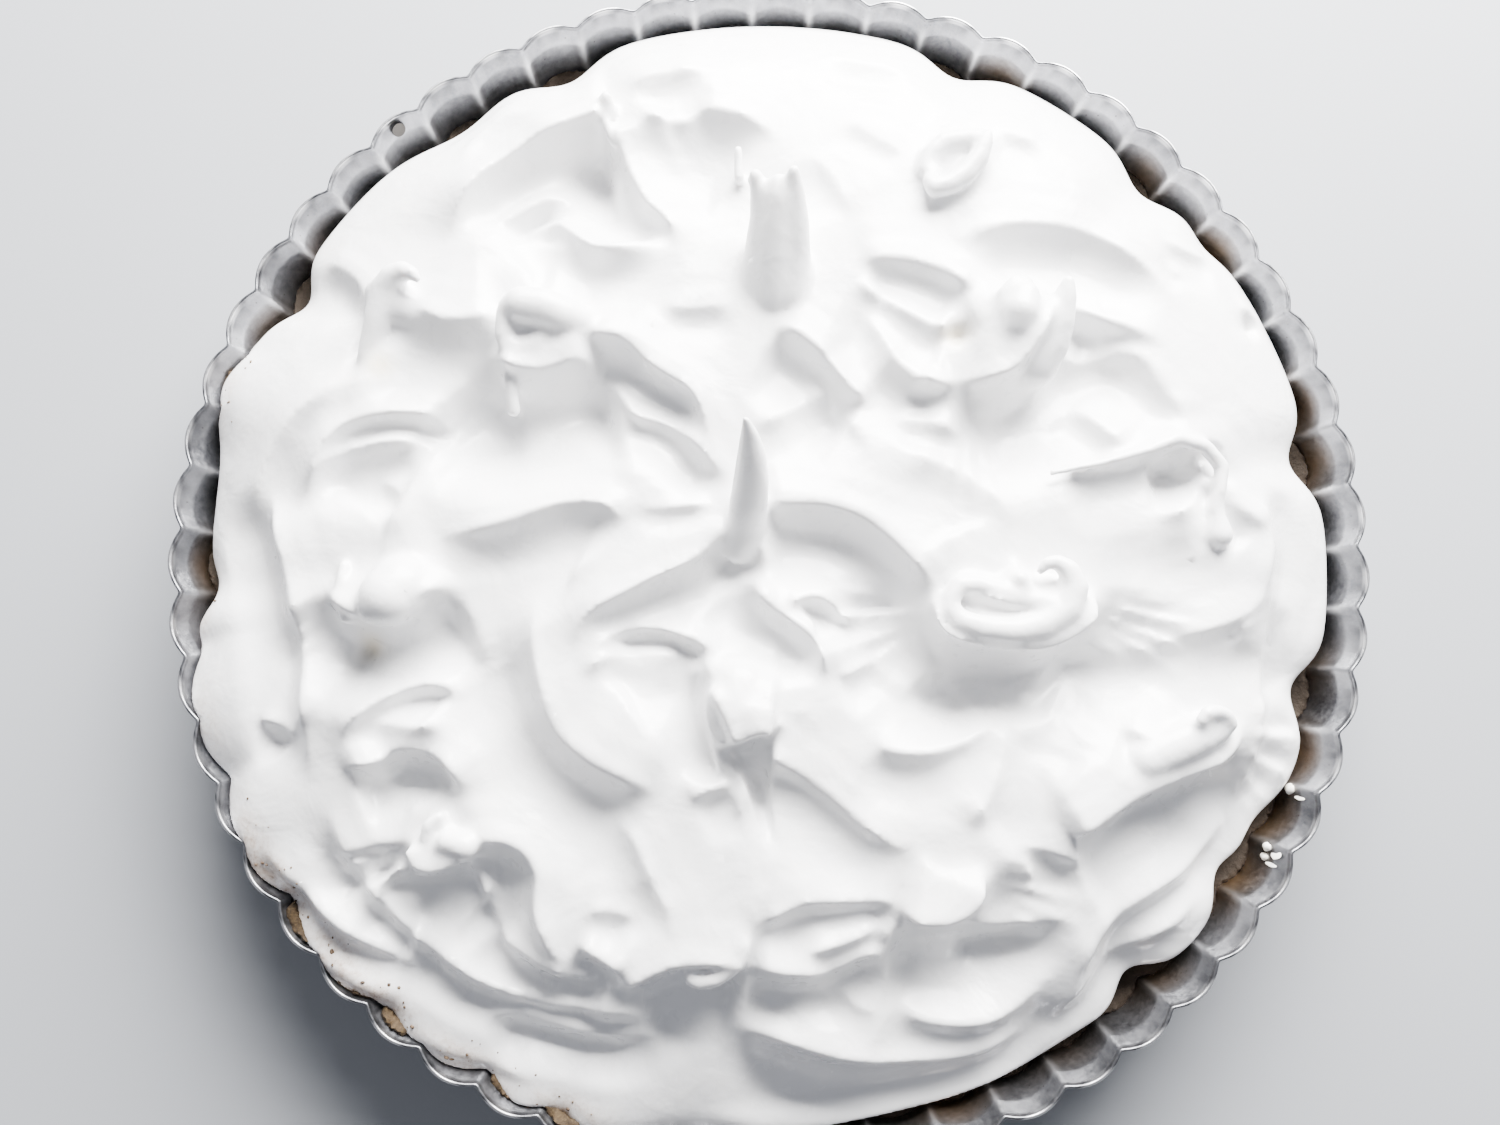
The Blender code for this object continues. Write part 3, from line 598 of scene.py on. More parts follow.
        (((-68, -69), (-62, -67.2), (-57, -67.6), (-52.8, -70.5), (-50.8, -74.7), (-51.2, -79.7),
          (-50.3, -84.7), (-47, -90.5), (-42, -94)), 6, 7, 6, 0.5, 0.15, 0.3),
        (((-61, -86), (-57, -90), (-52, -92.8), (-45, -95.3), (-36, -97.3)), 6.3, 3.5, 4, 0, 0.2, 0.2),
        (((-43, -88.3), (-38.7, -91), (-33, -95)), 5.6, 3.5, 3, 0, 0.25, 0.25),
        (((-41, -82.5), (-35.3, -82), (-30, -84)), 2.8, 4, 3, 0, 0.3, 0.3),
        (((-36, -98.5), (-30, -94.8), (-25, -92.5), (-20, -91.3), (-12, -91.5), (-6, -93)),
         8, 7, 6, 1.5, 0.2, 0.1),
        (((-36, -61), (-31, -67), (-28, -74), (-24.5, -80.5), (-22, -88)), 2.5, 6, 3, 0, 0.3, 0.3),
        (((-86, -70), (-82.8, -73), (-80, -79)), 3.5, 4, 3, 0, 0.3, 0.3),
    ],
    # soft hollows and swells: centre x, y, half length, half width, turn and height
    "swells": [
        (-17, 78, 15, 12, 0, -4), (39, -98, 18, 8, 5, -4), (45, -31, 9, 6, 0, -3), (66, -28, 6, 5, 0, -3),
        (-46, 31, 11, 8, 0, -5), (-38, 72, 9, 6, 0, -3), (51, 47, 11, 10, 0, 5), (42, 88, 9, 8, 30, 3),
        (95, 11, 7, 5, -20, -3), (-2, -36, 13, 8, 0, 3), (-30, -45, 15, 13, 0, 2), (53, -31, 18, 7, 0, -3),
        (38, -39, 10, 6, 15, -2.5), (85, -10, 18, 9, -10, -3),
        (-13, -7, 4, 6, 0, -2), (80, -60, 14, 5, 25, -3), (67, -43, 6, 5, 0, -2),
        (82, 31, 8, 8, 0, -2.5), (115, 52, 4, 2.5, 0, -2), (-9, -49, 3.5, 5, 0, -4),
        (-72, -76, 9, 4, 10, -3), (-91.5, -28, 1.7, 4, -30, -4), (-95, 41, 1.6, 5, -20, -3),
        (40.5, 43, 3, 1.8, 10, -3.5),
        (-10, -110, 70, 14, 0, -4), (-25, 112, 30, 14, 10, 2), (60, 95, 30, 14, -30, 2),
    ],
    # peaks pulled up by the spatula, each a chain of x, y, z and radius from its root to its tip
    "peaks": {
        "west crest": [(-94.1, 38.3, 41.1, 1.6), (-92.4, 43.3, 41.9, 2.4), (-90.3, 49.1, 43.2, 3.2),
                       (-88.7, 54, 44.4, 3.4), (-86.8, 56.2, 46, 3), (-84.3, 57.1, 47.5, 2.3),
                       (-81.8, 56.1, 48.7, 1.6), (-80.6, 54.7, 48.7, 1)],
        "west shoulder": [(-89.4, 53.5, 41.3, 5), (-83.7, 50, 41.2, 4.5), (-76.7, 47.8, 41.2, 4)],
        "knob cap": [(-59.2, 47.7, 49.9, 3.2), (-56.7, 48, 51.1, 4.2), (-52.3, 47.4, 51, 4.4),
                     (-48.4, 46.3, 49.1, 4.6), (-44.9, 45.4, 46.5, 4.4)],
        "knob side": [(-60.6, 46.4, 49.9, 2.2), (-61, 42.1, 49.6, 2), (-60.1, 39, 49.3, 1.9),
                      (-57, 38.5, 49.1, 1.9), (-53.7, 39.7, 49.2, 2), (-52.6, 43.7, 49.1, 2.2)],
        "knob floor": [(-57.5, 44, 47.1, 3.4), (-55, 43.2, 46.8, 3.6)],
        "knob stem": [(-60.3, 37.1, 47.9, 1.4), (-59.7, 32.6, 47.2, 1.6), (-59.1, 25.8, 45.4, 1.6)],
        "northwest tip": [(-40.5, 99.9, 40.6, 2.4), (-40.5, 101.4, 42.1, 1.9), (-40.3, 102.3, 43.3, 1.3)],
        "northwest drip": [(-41, 101.3, 41.6, 1), (-40.3, 96.4, 41.7, 1), (-39.1, 93.1, 41.2, 1.1),
                           (-37.9, 91.8, 41.2, 1.2)],
        "tall wave right": [(2.2, 53, 46, 5), (2.5, 60.6, 50.1, 4.4), (2.8, 66.5, 54.8, 3.4),
                            (2.6, 71.3, 58.4, 2.4), (2.4, 74.6, 61.5, 1.4)],
        "tall wave middle": [(-1.2, 53, 46, 5.4), (-1, 59.9, 50.2, 5.2), (-0.6, 66.3, 53.8, 4.8),
                             (-0.3, 70.7, 56.9, 3.8), (-0.6, 72.9, 58.2, 2.6)],
        "tall wave inner": [(-2.7, 57.6, 47.8, 4.8), (-2.6, 64, 51.4, 4.4), (-3, 69.2, 54.6, 3.4),
                            (-3.5, 72.3, 56.8, 2.4)],
        "tall wave left": [(-4.9, 54.5, 45.4, 4.5), (-4, 62.2, 49.6, 4), (-3.9, 68.3, 53.6, 3),
                           (-4.8, 73, 56.2, 2.2), (-5.7, 75.3, 57.9, 1.6), (-6.5, 74.8, 57, 1.1)],
        "strand": [(-9.4, 88, 45.6, 1.1), (-9.2, 81.4, 44.8, 1.3)],
        "north roll": [(48.2, 91.1, 49.6, 0.8), (47.1, 88.6, 48.9, 1.9), (45.5, 85, 48.4, 2.5),
                       (42.7, 81.3, 48.4, 2.5), (39, 78.6, 48.7, 2.3), (35.4, 77.7, 48.6, 2.2),
                       (34.3, 79.7, 47.9, 1.7), (35.5, 82.8, 46.8, 1.4)],
        "north hook": [(46.5, 90.5, 47, 2.6), (43, 90.7, 45.9, 2.8), (38.6, 90.1, 45.5, 2.8),
                       (35.4, 87.6, 45.4, 2.4), (33.9, 83.7, 45.7, 2)],
        "ball": [(53.5, 50.1, 53.7, 3.4), (52.3, 46.5, 54.5, 4), (51.8, 43.8, 53.7, 3.4)],
        "ball roll": [(54.5, 53.5, 52.8, 1.5), (51.6, 53.4, 53.6, 1.6), (49, 50.8, 53.4, 1.6),
                      (48.1, 46.7, 52.7, 1.6), (48.9, 43, 51.9, 1.5), (51.5, 40.9, 50.8, 1.3)],
        "fin": [(63.7, 54.1, 52.9, 1.4), (63.2, 50.8, 51.6, 2.6), (61.9, 45.8, 49.8, 3.8),
                (60.2, 41.6, 47.8, 4.8), (57.5, 37.5, 45.6, 5.6)],
        "fin web": [(60.9, 49.8, 48.6, 2.6), (58.7, 44.1, 48.2, 3.4), (56.3, 40.5, 47, 4.2)],
        "ball seat": [(54.1, 43.2, 44.6, 6), (58.5, 42.4, 44.3, 6)],
        "ribbon": [(59.8, 11.8, 48.1, 0.8), (70.4, 13.9, 48.3, 0.9), (81.5, 17.1, 47.4, 1.1),
                   (89, 20.2, 46.1, 1.5), (96, 18.7, 44.6, 1.7), (99.8, 14.4, 43.8, 1.7),
                   (99, 8.9, 43.9, 1.5), (97.6, 4.3, 43.3, 1.5)],
        "east blob": [(98.7, 8.4, 43.3, 1.4), (98.3, 3.6, 42.9, 1.9), (98.8, -1, 42.3, 3.2)],
        "wave roll": [(35.8, -18.5, 50.8, 2.2), (37.8, -21.1, 50.8, 2.5), (42.9, -22.8, 51.2, 2.7),
                      (49.2, -23.4, 50.9, 2.9), (55.6, -22.2, 50.7, 3.3), (61, -18.6, 50.5, 3.5),
                      (62.9, -14, 50.9, 3), (61.6, -10.3, 51.5, 2.3), (59.1, -8.5, 51.7, 1.7),
                      (56.8, -8.7, 51.8, 1.3), (55.6, -10.3, 51.4, 1.1)],
        "wave upper": [(36, -16.9, 50.8, 2), (38.2, -13.4, 50.8, 2), (42.2, -13.4, 50.8, 2.1),
                       (47.5, -15.1, 50.6, 2), (52.7, -16.8, 50.4, 2.2), (56.9, -17.3, 50.2, 2.6)],
        "wave knob": [(51.1, -12.2, 51, 2), (51.9, -14, 50.5, 1.9)],
        "wave floor": [(44.1, -18, 46.7, 3.4), (51.5, -19.1, 46.9, 3.4), (58.2, -14.8, 46.2, 4)],
        "west ball": [(-80.5, -11.2, 43.7, 6), (-82.2, -14.2, 46.4, 7), (-83.8, -16.1, 48.1, 6.4),
                      (-85.5, -17.4, 48.3, 5)],
        "west ribbon": [(-95.1, -8.6, 44.1, 1), (-95.5, -13.1, 44.4, 1.3), (-95.3, -17.1, 44.3, 1.6),
                        (-93.5, -20, 44.6, 1.8), (-91.6, -20, 45, 1.4), (-90.9, -18, 45.3, 1)],
        "hood": [(-9.1, -35.6, 47.9, 6.5), (-9.8, -38.4, 49.3, 6), (-10.5, -41.4, 50.3, 4),
                 (-11.3, -44.1, 50.2, 2.5)],
        "hood lip": [(-12, -45.7, 50.2, 2), (-9.8, -43.6, 51.2, 2.4), (-6.4, -42.2, 51.3, 2.2),
                     (-3.4, -42.3, 51, 1.5), (-0.6, -43, 50.8, 0.9)],
        "hood side": [(-13.9, -37, 48.8, 2.2), (-14, -41.8, 48.8, 2), (-13.3, -47.2, 47.6, 1.8),
                      (-11.7, -53.4, 45.9, 1.8)],
        "south curl": [(-72.1, -62.3, 44.7, 1.3), (-74.2, -64.1, 44.5, 1.6), (-74.8, -66.7, 44, 1.6),
                       (-74, -69.4, 43.1, 1.2)],
        "south drip": [(-66.5, -68.3, 45.2, 3), (-70.1, -67.4, 45.2, 2.3), (-72.3, -69.3, 43.9, 1.6),
                       (-73.4, -71.3, 42.3, 1)],
        "low drip": [(-77, -73.3, 39.6, 1.9), (-74.3, -73.8, 40.1, 1.4)],
        "rolled lip": [(-19.1, -93.5, 44.1, 1.3), (-18.8, -95.5, 43.7, 1.7), (-16.9, -96.1, 43.9, 1.8),
                       (-13.9, -95.5, 44.4, 1.8), (-10.8, -93.5, 44.9, 1.8), (-8.7, -91, 45.5, 1.8),
                       (-8.2, -88.4, 46, 1.8), (-9.3, -86.5, 45.3, 2)],
        "tongue end": [(79.5, -50.9, 42.9, 4.5), (84.9, -48.3, 43.1, 4.6), (90.9, -45.7, 43, 4.4),
                       (95.3, -43.8, 42.6, 3.6), (97.2, -42.5, 42.2, 3)],
        "tongue curl": [(97.7, -43, 44.4, 1.8), (96.6, -41.2, 45.5, 1.7), (94.1, -40.3, 46.8, 1.6),
                        (91.6, -40.5, 47.7, 1.5), (90.2, -42.1, 47.6, 1.3), (91, -43.4, 46.9, 1.1),
                        (93, -43.4, 46, 0.9)],
        "spike": [(-9, -4.9, 46, 3.6), (-7.6, -0.9, 49, 4.2), (-7.1, 3.9, 52, 4.2), (-6.6, 8.3, 56, 3.9),
                  (-6.7, 12.3, 61, 3.1), (-7.3, 15.5, 65.5, 1.9), (-8.1, 17.7, 69, 0.8)],
    },
}


def edgeRadius(angle):
    degrees = np.degrees(angle)
    radius = np.full_like(degrees, meringue["edgeRadius"])
    for middle, halfWidth, depth in meringue["dips"]:
        radius = radius - depth * bell(degrees, middle, halfWidth)
    return radius


def filmShare(angle):
    return patchwork(np.degrees(angle), meringue["films"])


def smoothPath(points):
    # an even run of places on a smooth curve through the points
    knots = np.array([points[0], *points, points[-1]], float)
    knots[0] = 2 * knots[1] - knots[2]
    knots[-1] = 2 * knots[-2] - knots[-3]
    places = []
    for before, start, end, after in zip(knots, knots[1:], knots[2:], knots[3:]):
        steps = max(2, round(float(np.linalg.norm(end - start)) / meringue["pathSpacing"]))
        for t in np.arange(steps) / steps:
            places.append(0.5 * (2 * start + (end - before) * t
                                 + (2 * before - 5 * start + 4 * end - after) * t ** 2
                                 + (3 * start - before - 3 * end + after) * t ** 3))
    places.append(knots[-2])
    return np.array(places)


def pressFold(x, y, shift, fold):
    # add one fold to shift, whose rows are dx, dy, dz, the streaks along the folds and their weight
    points, drop, lowReach, highReach, lean, fadeIn, fadeOut = fold
    path = smoothPath(points)
    margin = 4.0 * max(lowReach, highReach) + 8.0
    near = ((x > path[:, 0].min() - margin) & (x < path[:, 0].max() + margin)
            & (y > path[:, 1].min() - margin) & (y < path[:, 1].max() + margin))
    spots = np.stack([x[near], y[near]], axis=1)
    offsets = spots[:, None, :] - path[None, :, :]
    closest = np.argmin((offsets ** 2).sum(axis=2), axis=1)
    tangents = np.gradient(path, axis=0)
    tangents /= np.linalg.norm(tangents, axis=1)[:, None]
    tangent = tangents[closest]
    offset = offsets[np.arange(len(spots)), closest]
    side = tangent[:, 0] * offset[:, 1] - tangent[:, 1] * offset[:, 0]
    along = (tangent * offset).sum(axis=1)
    last = len(path) - 1
    ends = (closest == 0) | (closest == last)
    beyond = np.where(ends, np.maximum(np.abs(along) - 0.8, 0), 0.0)
    spacing = meringue["pathSpacing"]
    t = np.clip((closest + np.where(ends, 0, along / spacing)) / last, 0, 1)
    strength = easeStep(t / fadeIn + 0.02) * easeStep((1 - t) / fadeOut + 0.02)
    strength = strength * np.exp(-(beyond / (0.5 * lowReach)) ** 2)
    drop = drop * meringue["foldScale"]
    crest = meringue["crestShare"] * drop
    foot = drop - crest
    fall = meringue["fallShare"] * lowReach
    high = crest * np.exp(-np.clip(side, 0, None) / (meringue["highStretch"] * highReach))
    share = np.clip(-side / fall, 0, 1)
    slope = crest - drop * (1 - (1 - share) ** meringue["fallPower"])
    low = -foot * (1 - easeStep((-side - fall) / (meringue["lowStretch"] * lowReach)))
    lift = np.where(side > 0, high, np.where(side > -fall, slope, low))
    leanHere = lean * np.exp(-((side - 0.3) / 1.6) ** 2) * strength
    shift[0, near] += tangent[:, 1] * leanHere
    shift[1, near] -= tangent[:, 0] * leanHere
    shift[2, near] += lift * strength
    weight = strength * np.exp(-np.abs(side) / meringue["streakFade"])
    wander = side + 1.2 * np.sin(0.11 * (closest * spacing + points[0][0]))
    streak = np.sin(1.15 * wander + points[0][1]) + 0.7 * np.sin(2.3 * wander + points[0][0])
    shift[3, near] += weight * streak
    shift[4, near] += weight


def pressSwell(x, y, shift, swell):
    cx, cy, halfLength, halfWidth, turn, height = swell
    c = math.cos(math.radians(turn))
    s = math.sin(math.radians(turn))
    u = ((x - cx) * c + (y - cy) * s) / halfLength
    v = (-(x - cx) * s + (y - cy) * c) / halfWidth
    shift[2] += height * np.exp(-(u ** 2 + v ** 2))


def softened(field):
    # even out small steps between neighbouring vertices; the last column repeats the first
    field = field[:, :, :-1]
    for _ in range(meringue["softening"]):
        field = 0.5 * field + 0.25 * (np.roll(field, 1, axis=2) + np.roll(field, -1, axis=2))
        padded = np.pad(field, ((0, 0), (1, 1), (0, 0)), mode="edge")
        field = 0.5 * field + 0.25 * (padded[:, :-2] + padded[:, 2:])
    return np.concatenate([field, field[:, :, :1]], axis=2)


def wrapMound(mesh):
    # a flat grid becomes the mound: its rows run from the crown over the edge and under
    places = vertexPlaces(mesh)
    angle = (places[:, 0] + 0.5) * wholeCircle
    row = places[:, 1] + 0.5
    topShare = 0.9
    tuckShare = 0.4
    film = filmShare(angle)
    reach = edgeRadius(angle) + film * meringue["filmReach"]
    edge = meringue["edgeHeight"] + film * meringue["filmRise"]
    over = row <= topShare
    share = np.where(over, row / topShare, 1.0)
    under = np.where(over, 0.0, (row - topShare) / (1 - topShare))
    rise = (1 - share ** (meringue["shoulder"] - meringue["filmSlope"] * film)) ** meringue["shoulderPower"]
    height = edge + (meringue["crownHeight"] - edge) * rise
    bottom = crust["top"] + crust["gap"]
    tuck = np.clip(under / tuckShare, 0, 1)
    radius = np.where(over, reach * share, reach - meringue["tuck"] * tuck ** 2)
    height = np.where(over, height, edge + (bottom - edge) * np.sqrt(tuck))
    inner = (reach - meringue["tuck"]) * (1 - under) / (1 - tuckShare)
    radius = np.where(under > tuckShare, inner, radius)
    height = np.where(under > tuckShare, bottom, height)
    x = radius * np.cos(angle)
    y = radius * np.sin(angle)
    shift = np.zeros((5, len(x)))
    for fold in meringue["folds"]:
        pressFold(x, y, shift, fold)
    for swell in meringue["swells"]:
        pressSwell(x, y, shift, swell)
    shift[2] += meringue["streaks"] * shift[3] / np.maximum(shift[4], 0.4)
    shift = softened(shift[:3].reshape(3, meringue["rows"] + 1, meringue["columns"] + 1)).reshape(3, -1)
    hold = np.where(over, np.clip((1 - share) / 0.05, 0, 1), 0.0)
    places[:, 0] = x + shift[0] * hold
    places[:, 1] = y + shift[1] * hold
    places[:, 2] = height + shift[2] * hold
    mesh.vertices.foreach_set("co", places.ravel())


def peakMesh(chain):
    # beads so close together that they make one tapered, bent peak
    shape = bmesh.new()
    for start, end in zip(chain, chain[1:]):
        start = np.array(start, float)
        end = np.array(end, float)
        length = np.linalg.norm(end[:3] - start[:3])
        steps = max(2, math.ceil(length / (0.3 * min(start[3], end[3]))))
        for t in np.linspace(0.0, 1.0, steps + 1):
            bead = start + (end - start) * t
            bmesh.ops.create_icosphere(shape, subdivisions=3, radius=bead[3],
                                       matrix=Matrix.Translation(Vector(bead[:3])))
    return asMesh(shape, "peak")


def modified(mesh, addModifiers):
    # the mesh as it comes out of the modifiers that are put on it
    rough = bpy.data.objects.new("roughMeringue", mesh)
    bpy.context.scene.collection.objects.link(rough)
    addModifiers(rough)
    graph = bpy.context.evaluated_depsgraph_get()
    finished = bpy.data.meshes.new_from_object(rough.evaluated_get(graph))
    bpy.data.objects.remove(rough, do_unlink=True)
    return finished


def joinIntoSkin(rough):
    # remesh the mound and its peaks into one smooth skin
    remesh = rough.modifiers.new("oneSkin", "REMESH")
    remesh.mode = "VOXEL"
    remesh.voxel_size = meringue["voxel"]
    soften = rough.modifiers.new("soften", "SMOOTH")
    soften.iterations = meringue["smoothing"]


def thinFaces(rough):
    # fewer faces where the skin is nearly flat
    triangles = sum(len(face.vertices) - 2 for face in rough.data.polygons)
    decimate = rough.modifiers.new("thin", "DECIMATE")
    decimate.ratio = min(1.0, meringue["triangles"] / triangles)


def fillCreases(mesh, rounds):
    # round the hollows and the roots of the peaks, and leave the crests crisp
    count = len(mesh.vertices)
    pairs = np.empty(len(mesh.edges) * 2, np.int32)
    mesh.edges.foreach_get("vertices", pairs)
    starts = np.concatenate([pairs[0::2], pairs[1::2]])
    ends = np.concatenate([pairs[1::2], pairs[0::2]])
    valence = np.bincount(starts, minlength=count)
    normals = np.empty(count * 3)
    places = vertexPlaces(mesh)
    for turn in range(rounds):
        if turn % 6 == 0:
            mesh.vertices.foreach_set("co", places.ravel())
            mesh.update()
            mesh.vertices.foreach_get("normal", normals)
            outward = normals.reshape(-1, 3)
        around = np.stack([np.bincount(starts, places[ends, k], count) for k in range(3)], axis=1)
        lift = ((around / valence[:, None] - places) * outward).sum(axis=1)
        places = places + outward * (0.6 * np.clip(lift, 0, None))[:, None]
    for _ in range(2):
        around = np.stack([np.bincount(starts, places[ends, k], count) for k in range(3)], axis=1)
        places = 0.5 * places + 0.5 * around / valence[:, None]
    mesh.vertices.foreach_set("co", places.ravel())
    mesh.update()


def keepClear(mesh):
    # draw the skin in, off the tin's ridges, or off its flutes where a film reaches into them
    places = vertexPlaces(mesh)
    angle = np.arctan2(places[:, 1], places[:, 0])
    radius = np.hypot(places[:, 0], places[:, 1])
    film = filmShare(angle)
    free = np.minimum(edgeRadius(angle) + 0.5, innerWall(places[:, 2]) - tin["fluteDepth"] - crust["gap"])
    inFlute = innerFace(angle, places[:, 2]) - crust["edgeGap"] - 1.2 * (1 - film)
    limit = np.where(film > 0.05, np.minimum(inFlute, free + film * (meringue["filmReach"] + 1.0)), free)
    factor = np.where(radius > limit, limit / np.maximum(radius, 1e-6), 1.0)
    places[:, 0] *= factor
    places[:, 1] *= factor
    mesh.vertices.foreach_set("co", places.ravel())


def meringueMaterial():
    recipe = Recipe("glossyMeringue")
    broad = recipe.noise(70.0, 3.0, 0.5, 0.6)
    streak = recipe.noise(260.0, 3.0, 0.5, 0.4)
    fine = recipe.noise(1500.0, 2.0, 0.5)
    bubbles = recipe.spread(recipe.cells(330.0), 0.02, 0.06, 1.0, 0.0)
    tone = recipe.mix(recipe.spread(broad, 0.35, 0.65), (0.84, 0.84, 0.85), (0.88, 0.875, 0.875))
    tone = recipe.mix(recipe.attribute("cream"), tone, (0.80, 0.72, 0.56))
    specks = recipe.spread(recipe.noise(900.0, 4.0, 0.75), 0.45, 0.68)
    stain = recipe.sum("MULTIPLY", recipe.attribute("stain"), recipe.spread(streak, 0.3, 0.6, 0.35, 1.0))
    tone = recipe.mix(stain, tone, (0.62, 0.52, 0.44))
    tone = recipe.mix(recipe.sum("MULTIPLY", stain, specks), tone, (0.33, 0.22, 0.15))
    rough = recipe.spread(streak, 0.3, 0.7, 0.24, 0.38)
    rough = recipe.sum("SUBTRACT", rough, recipe.sum("MULTIPLY", recipe.attribute("wet"), 0.2))
    relief = recipe.bump(broad, 0.25, 0.002)
    relief = recipe.bump(streak, 0.12, 0.0008, relief)
    relief = recipe.bump(fine, 0.03, 0.0002, relief)
    relief = recipe.bump(bubbles, 0.15, 0.0002, relief)
    recipe.put(baseColor=tone, roughness=rough, normal=relief, specularIorLevel=0.5)
    recipe.surface.subsurface_method = "RANDOM_WALK"
    recipe.surface.inputs["Subsurface Weight"].default_value = 0.15
    recipe.surface.inputs["Subsurface Radius"].default_value = (1.0, 0.95, 0.9)
    recipe.surface.inputs["Subsurface Scale"].default_value = 0.0015
    return recipe.material


def paintMeringue(mesh):
    places = vertexPlaces(mesh) / mm
    x = places[:, 0]
    y = places[:, 1]
    radius = np.hypot(x, y)
    degrees = np.degrees(np.arctan2(y, x))
    cream = np.zeros(len(places))
    for cx, cy, reach in meringue["creamPits"]:
        cream = np.maximum(cream, 0.8 * np.exp(-((x - cx) ** 2 + (y - cy) ** 2) / reach ** 2))
    stain = patchwork(degrees, meringue["stainPatches"]) * easeStep((radius - 128.0) / 7.0)
    wet = easeStep((radius - 105) / 18.0) * bell(degrees, -50, 40)
    paintAttribute(mesh, "cream", cream)
    paintAttribute(mesh, "stain", stain)
    paintAttribute(mesh, "wet", wet)


def makeMeringue():
    shape = bmesh.new()
    bmesh.ops.create_grid(shape, x_segments=meringue["columns"], y_segments=meringue["rows"], size=0.5)
    mesh = asMesh(shape, "mound")
    wrapMound(mesh)
    print("mound shaped")
    shape = bmesh.new()
    shape.from_mesh(mesh)
    bmesh.ops.remove_doubles(shape, verts=shape.verts, dist=1e-3)
    bmesh.ops.recalc_face_normals(shape, faces=shape.faces)
    for chain in meringue["peaks"].values():
        shape.from_mesh(peakMesh(chain))
    shape.to_mesh(mesh)
    shape.free()
    skin = modified(mesh, joinIntoSkin)
    print("skin remeshed:", len(skin.polygons), "faces")
    fillCreases(skin, meringue["creaseRounds"])
    keepClear(skin)
    shape = bmesh.new()
    shape.from_mesh(skin)
    bmesh.ops.bisect_plane(shape, geom=shape.verts[:] + shape.edges[:] + shape.faces[:], dist=1e-4,
                           plane_co=(0, 0, crust["top"] + meringue["trim"]), plane_no=(0, 0, -1),
                           clear_outer=True)
    shape.to_mesh(skin)
    shape.free()
    shape = bmesh.new()
    shape.from_mesh(modified(skin, thinFaces))
    rim = [edge for edge in shape.edges if edge.is_boundary]
    bmesh.ops.holes_fill(shape, edges=rim, sides=0)
    bmesh.ops.recalc_face_normals(shape, faces=shape.faces)
    piece = finishPiece(shape, "meringueSkin", meringueMaterial(), 180)
    paintMeringue(piece.data)
    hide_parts("meringue")
    print("meringue made:", len(piece.data.polygons), "faces")
    return piece


spills = {
    # blobs of meringue that fell on the wall: angle, height, length along and up the wall, thickness
    "drops": [(-25.8, 24.4, 1.25, 1.3, 1.0), (-32.1, 25.4, 1.0, 1.2, 0.9), (-33.0, 24.6, 0.9, 1.1, 0.8)],
    "smears": [(-26.4, 27.0, 0.5, 1.5, 0.08), (-32.5, 27.9, 1.1, 1.4, 0.1), (-33.5, 26.9, 0.5, 1.7, 0.08)],
    # dull dried spot under the rim: angle, height and radius
    "driedSpot": (132.4, 28.6, 1.75),
}


def wallFrame(angle, height):
    # place on the inner wall, and a turn that takes X along it, Y up it and Z off it
    turn = math.radians(angle)
    radius = float(innerFace(turn, height))
    off = Vector((-math.cos(turn), -math.sin(turn), 0.35)).normalized()
    along = Vector((math.sin(turn), -math.cos(turn), 0.0))
    up = off.cross(along)
    place = Vector((radius * math.cos(turn), radius * math.sin(turn), height))
    return Matrix.Translation(place) @ Matrix((along, up, off)).transposed().to_4x4()


def makeDrops():
    shape = bmesh.new()
    draw = random.Random(3)
    for angle, height, along, up, thick in spills["drops"] + spills["smears"]:
        made = bmesh.ops.create_icosphere(shape, subdivisions=3, radius=1.0)
        for vert in made["verts"]:
            wobble = 1.0 + 0.12 * math.sin(3.0 * vert.co.x + 5.0 * vert.co.y + angle)
            wobble += draw.uniform(-0.01, 0.01)
            vert.co = wallFrame(angle, height) @ Vector((vert.co.x * along * wobble, vert.co.y * up,
                                                         vert.co.z * thick * wobble))
    recipe = Recipe("driedMeringue")
    film = recipe.spread(recipe.noise(500.0, 3.0, 0.6), 0.35, 0.65)
    recipe.put(baseColor=recipe.mix(film, (0.80, 0.76, 0.66), (0.86, 0.85, 0.83)), roughness=0.4)
    finishPiece(shape, "drops", recipe.material, 180)
    print("drops made")


def makeDriedSpot():
    angle, height, radius = spills["driedSpot"]
    seat = wallFrame(angle, height) @ Matrix.Translation((0, 0, 0.15))
    shape = bmesh.new()
    bmesh.ops.create_circle(shape, cap_ends=True, segments=40, radius=radius)
    face = shape.faces[:]
    bmesh.ops.inset_region(shape, faces=face, thickness=0.3, depth=0.0)
    bmesh.ops.inset_region(shape, faces=face, thickness=0.25, depth=0.12)
    bmesh.ops.inset_region(shape, faces=face, thickness=0.7, depth=0.1)
    bmesh.ops.transform(shape, matrix=seat, verts=shape.verts)
    recipe = Recipe("driedBatter")
    speck = recipe.spread(recipe.noise(2200.0, 3.0, 0.7), 0.5, 0.62)
    tone = recipe.mix(speck, (0.30, 0.27, 0.235), (0.11, 0.075, 0.045))
    # painted shade: a dark ring round the spot's edge
    recipe.put(baseColor=recipe.mix(recipe.attribute("ring"), tone, (0.05, 0.045, 0.04)), roughness=0.7)
    piece = finishPiece(shape, "driedSpot", recipe.material, 180)
    centre = seat.translation
    away = np.linalg.norm(vertexPlaces(piece.data) / mm - np.array(centre), axis=1)
    # painted shade in a ring round the spot's edge
    paintAttribute(piece.data, "ring", easeStep((away - radius + 0.6) / 0.3))
    print("dried spot made")


crumbs = {
    "count": 70,
    "small": 0.15,
    "large": 0.5,
    "inner": 129.0,
    "outer": 137.0,
}


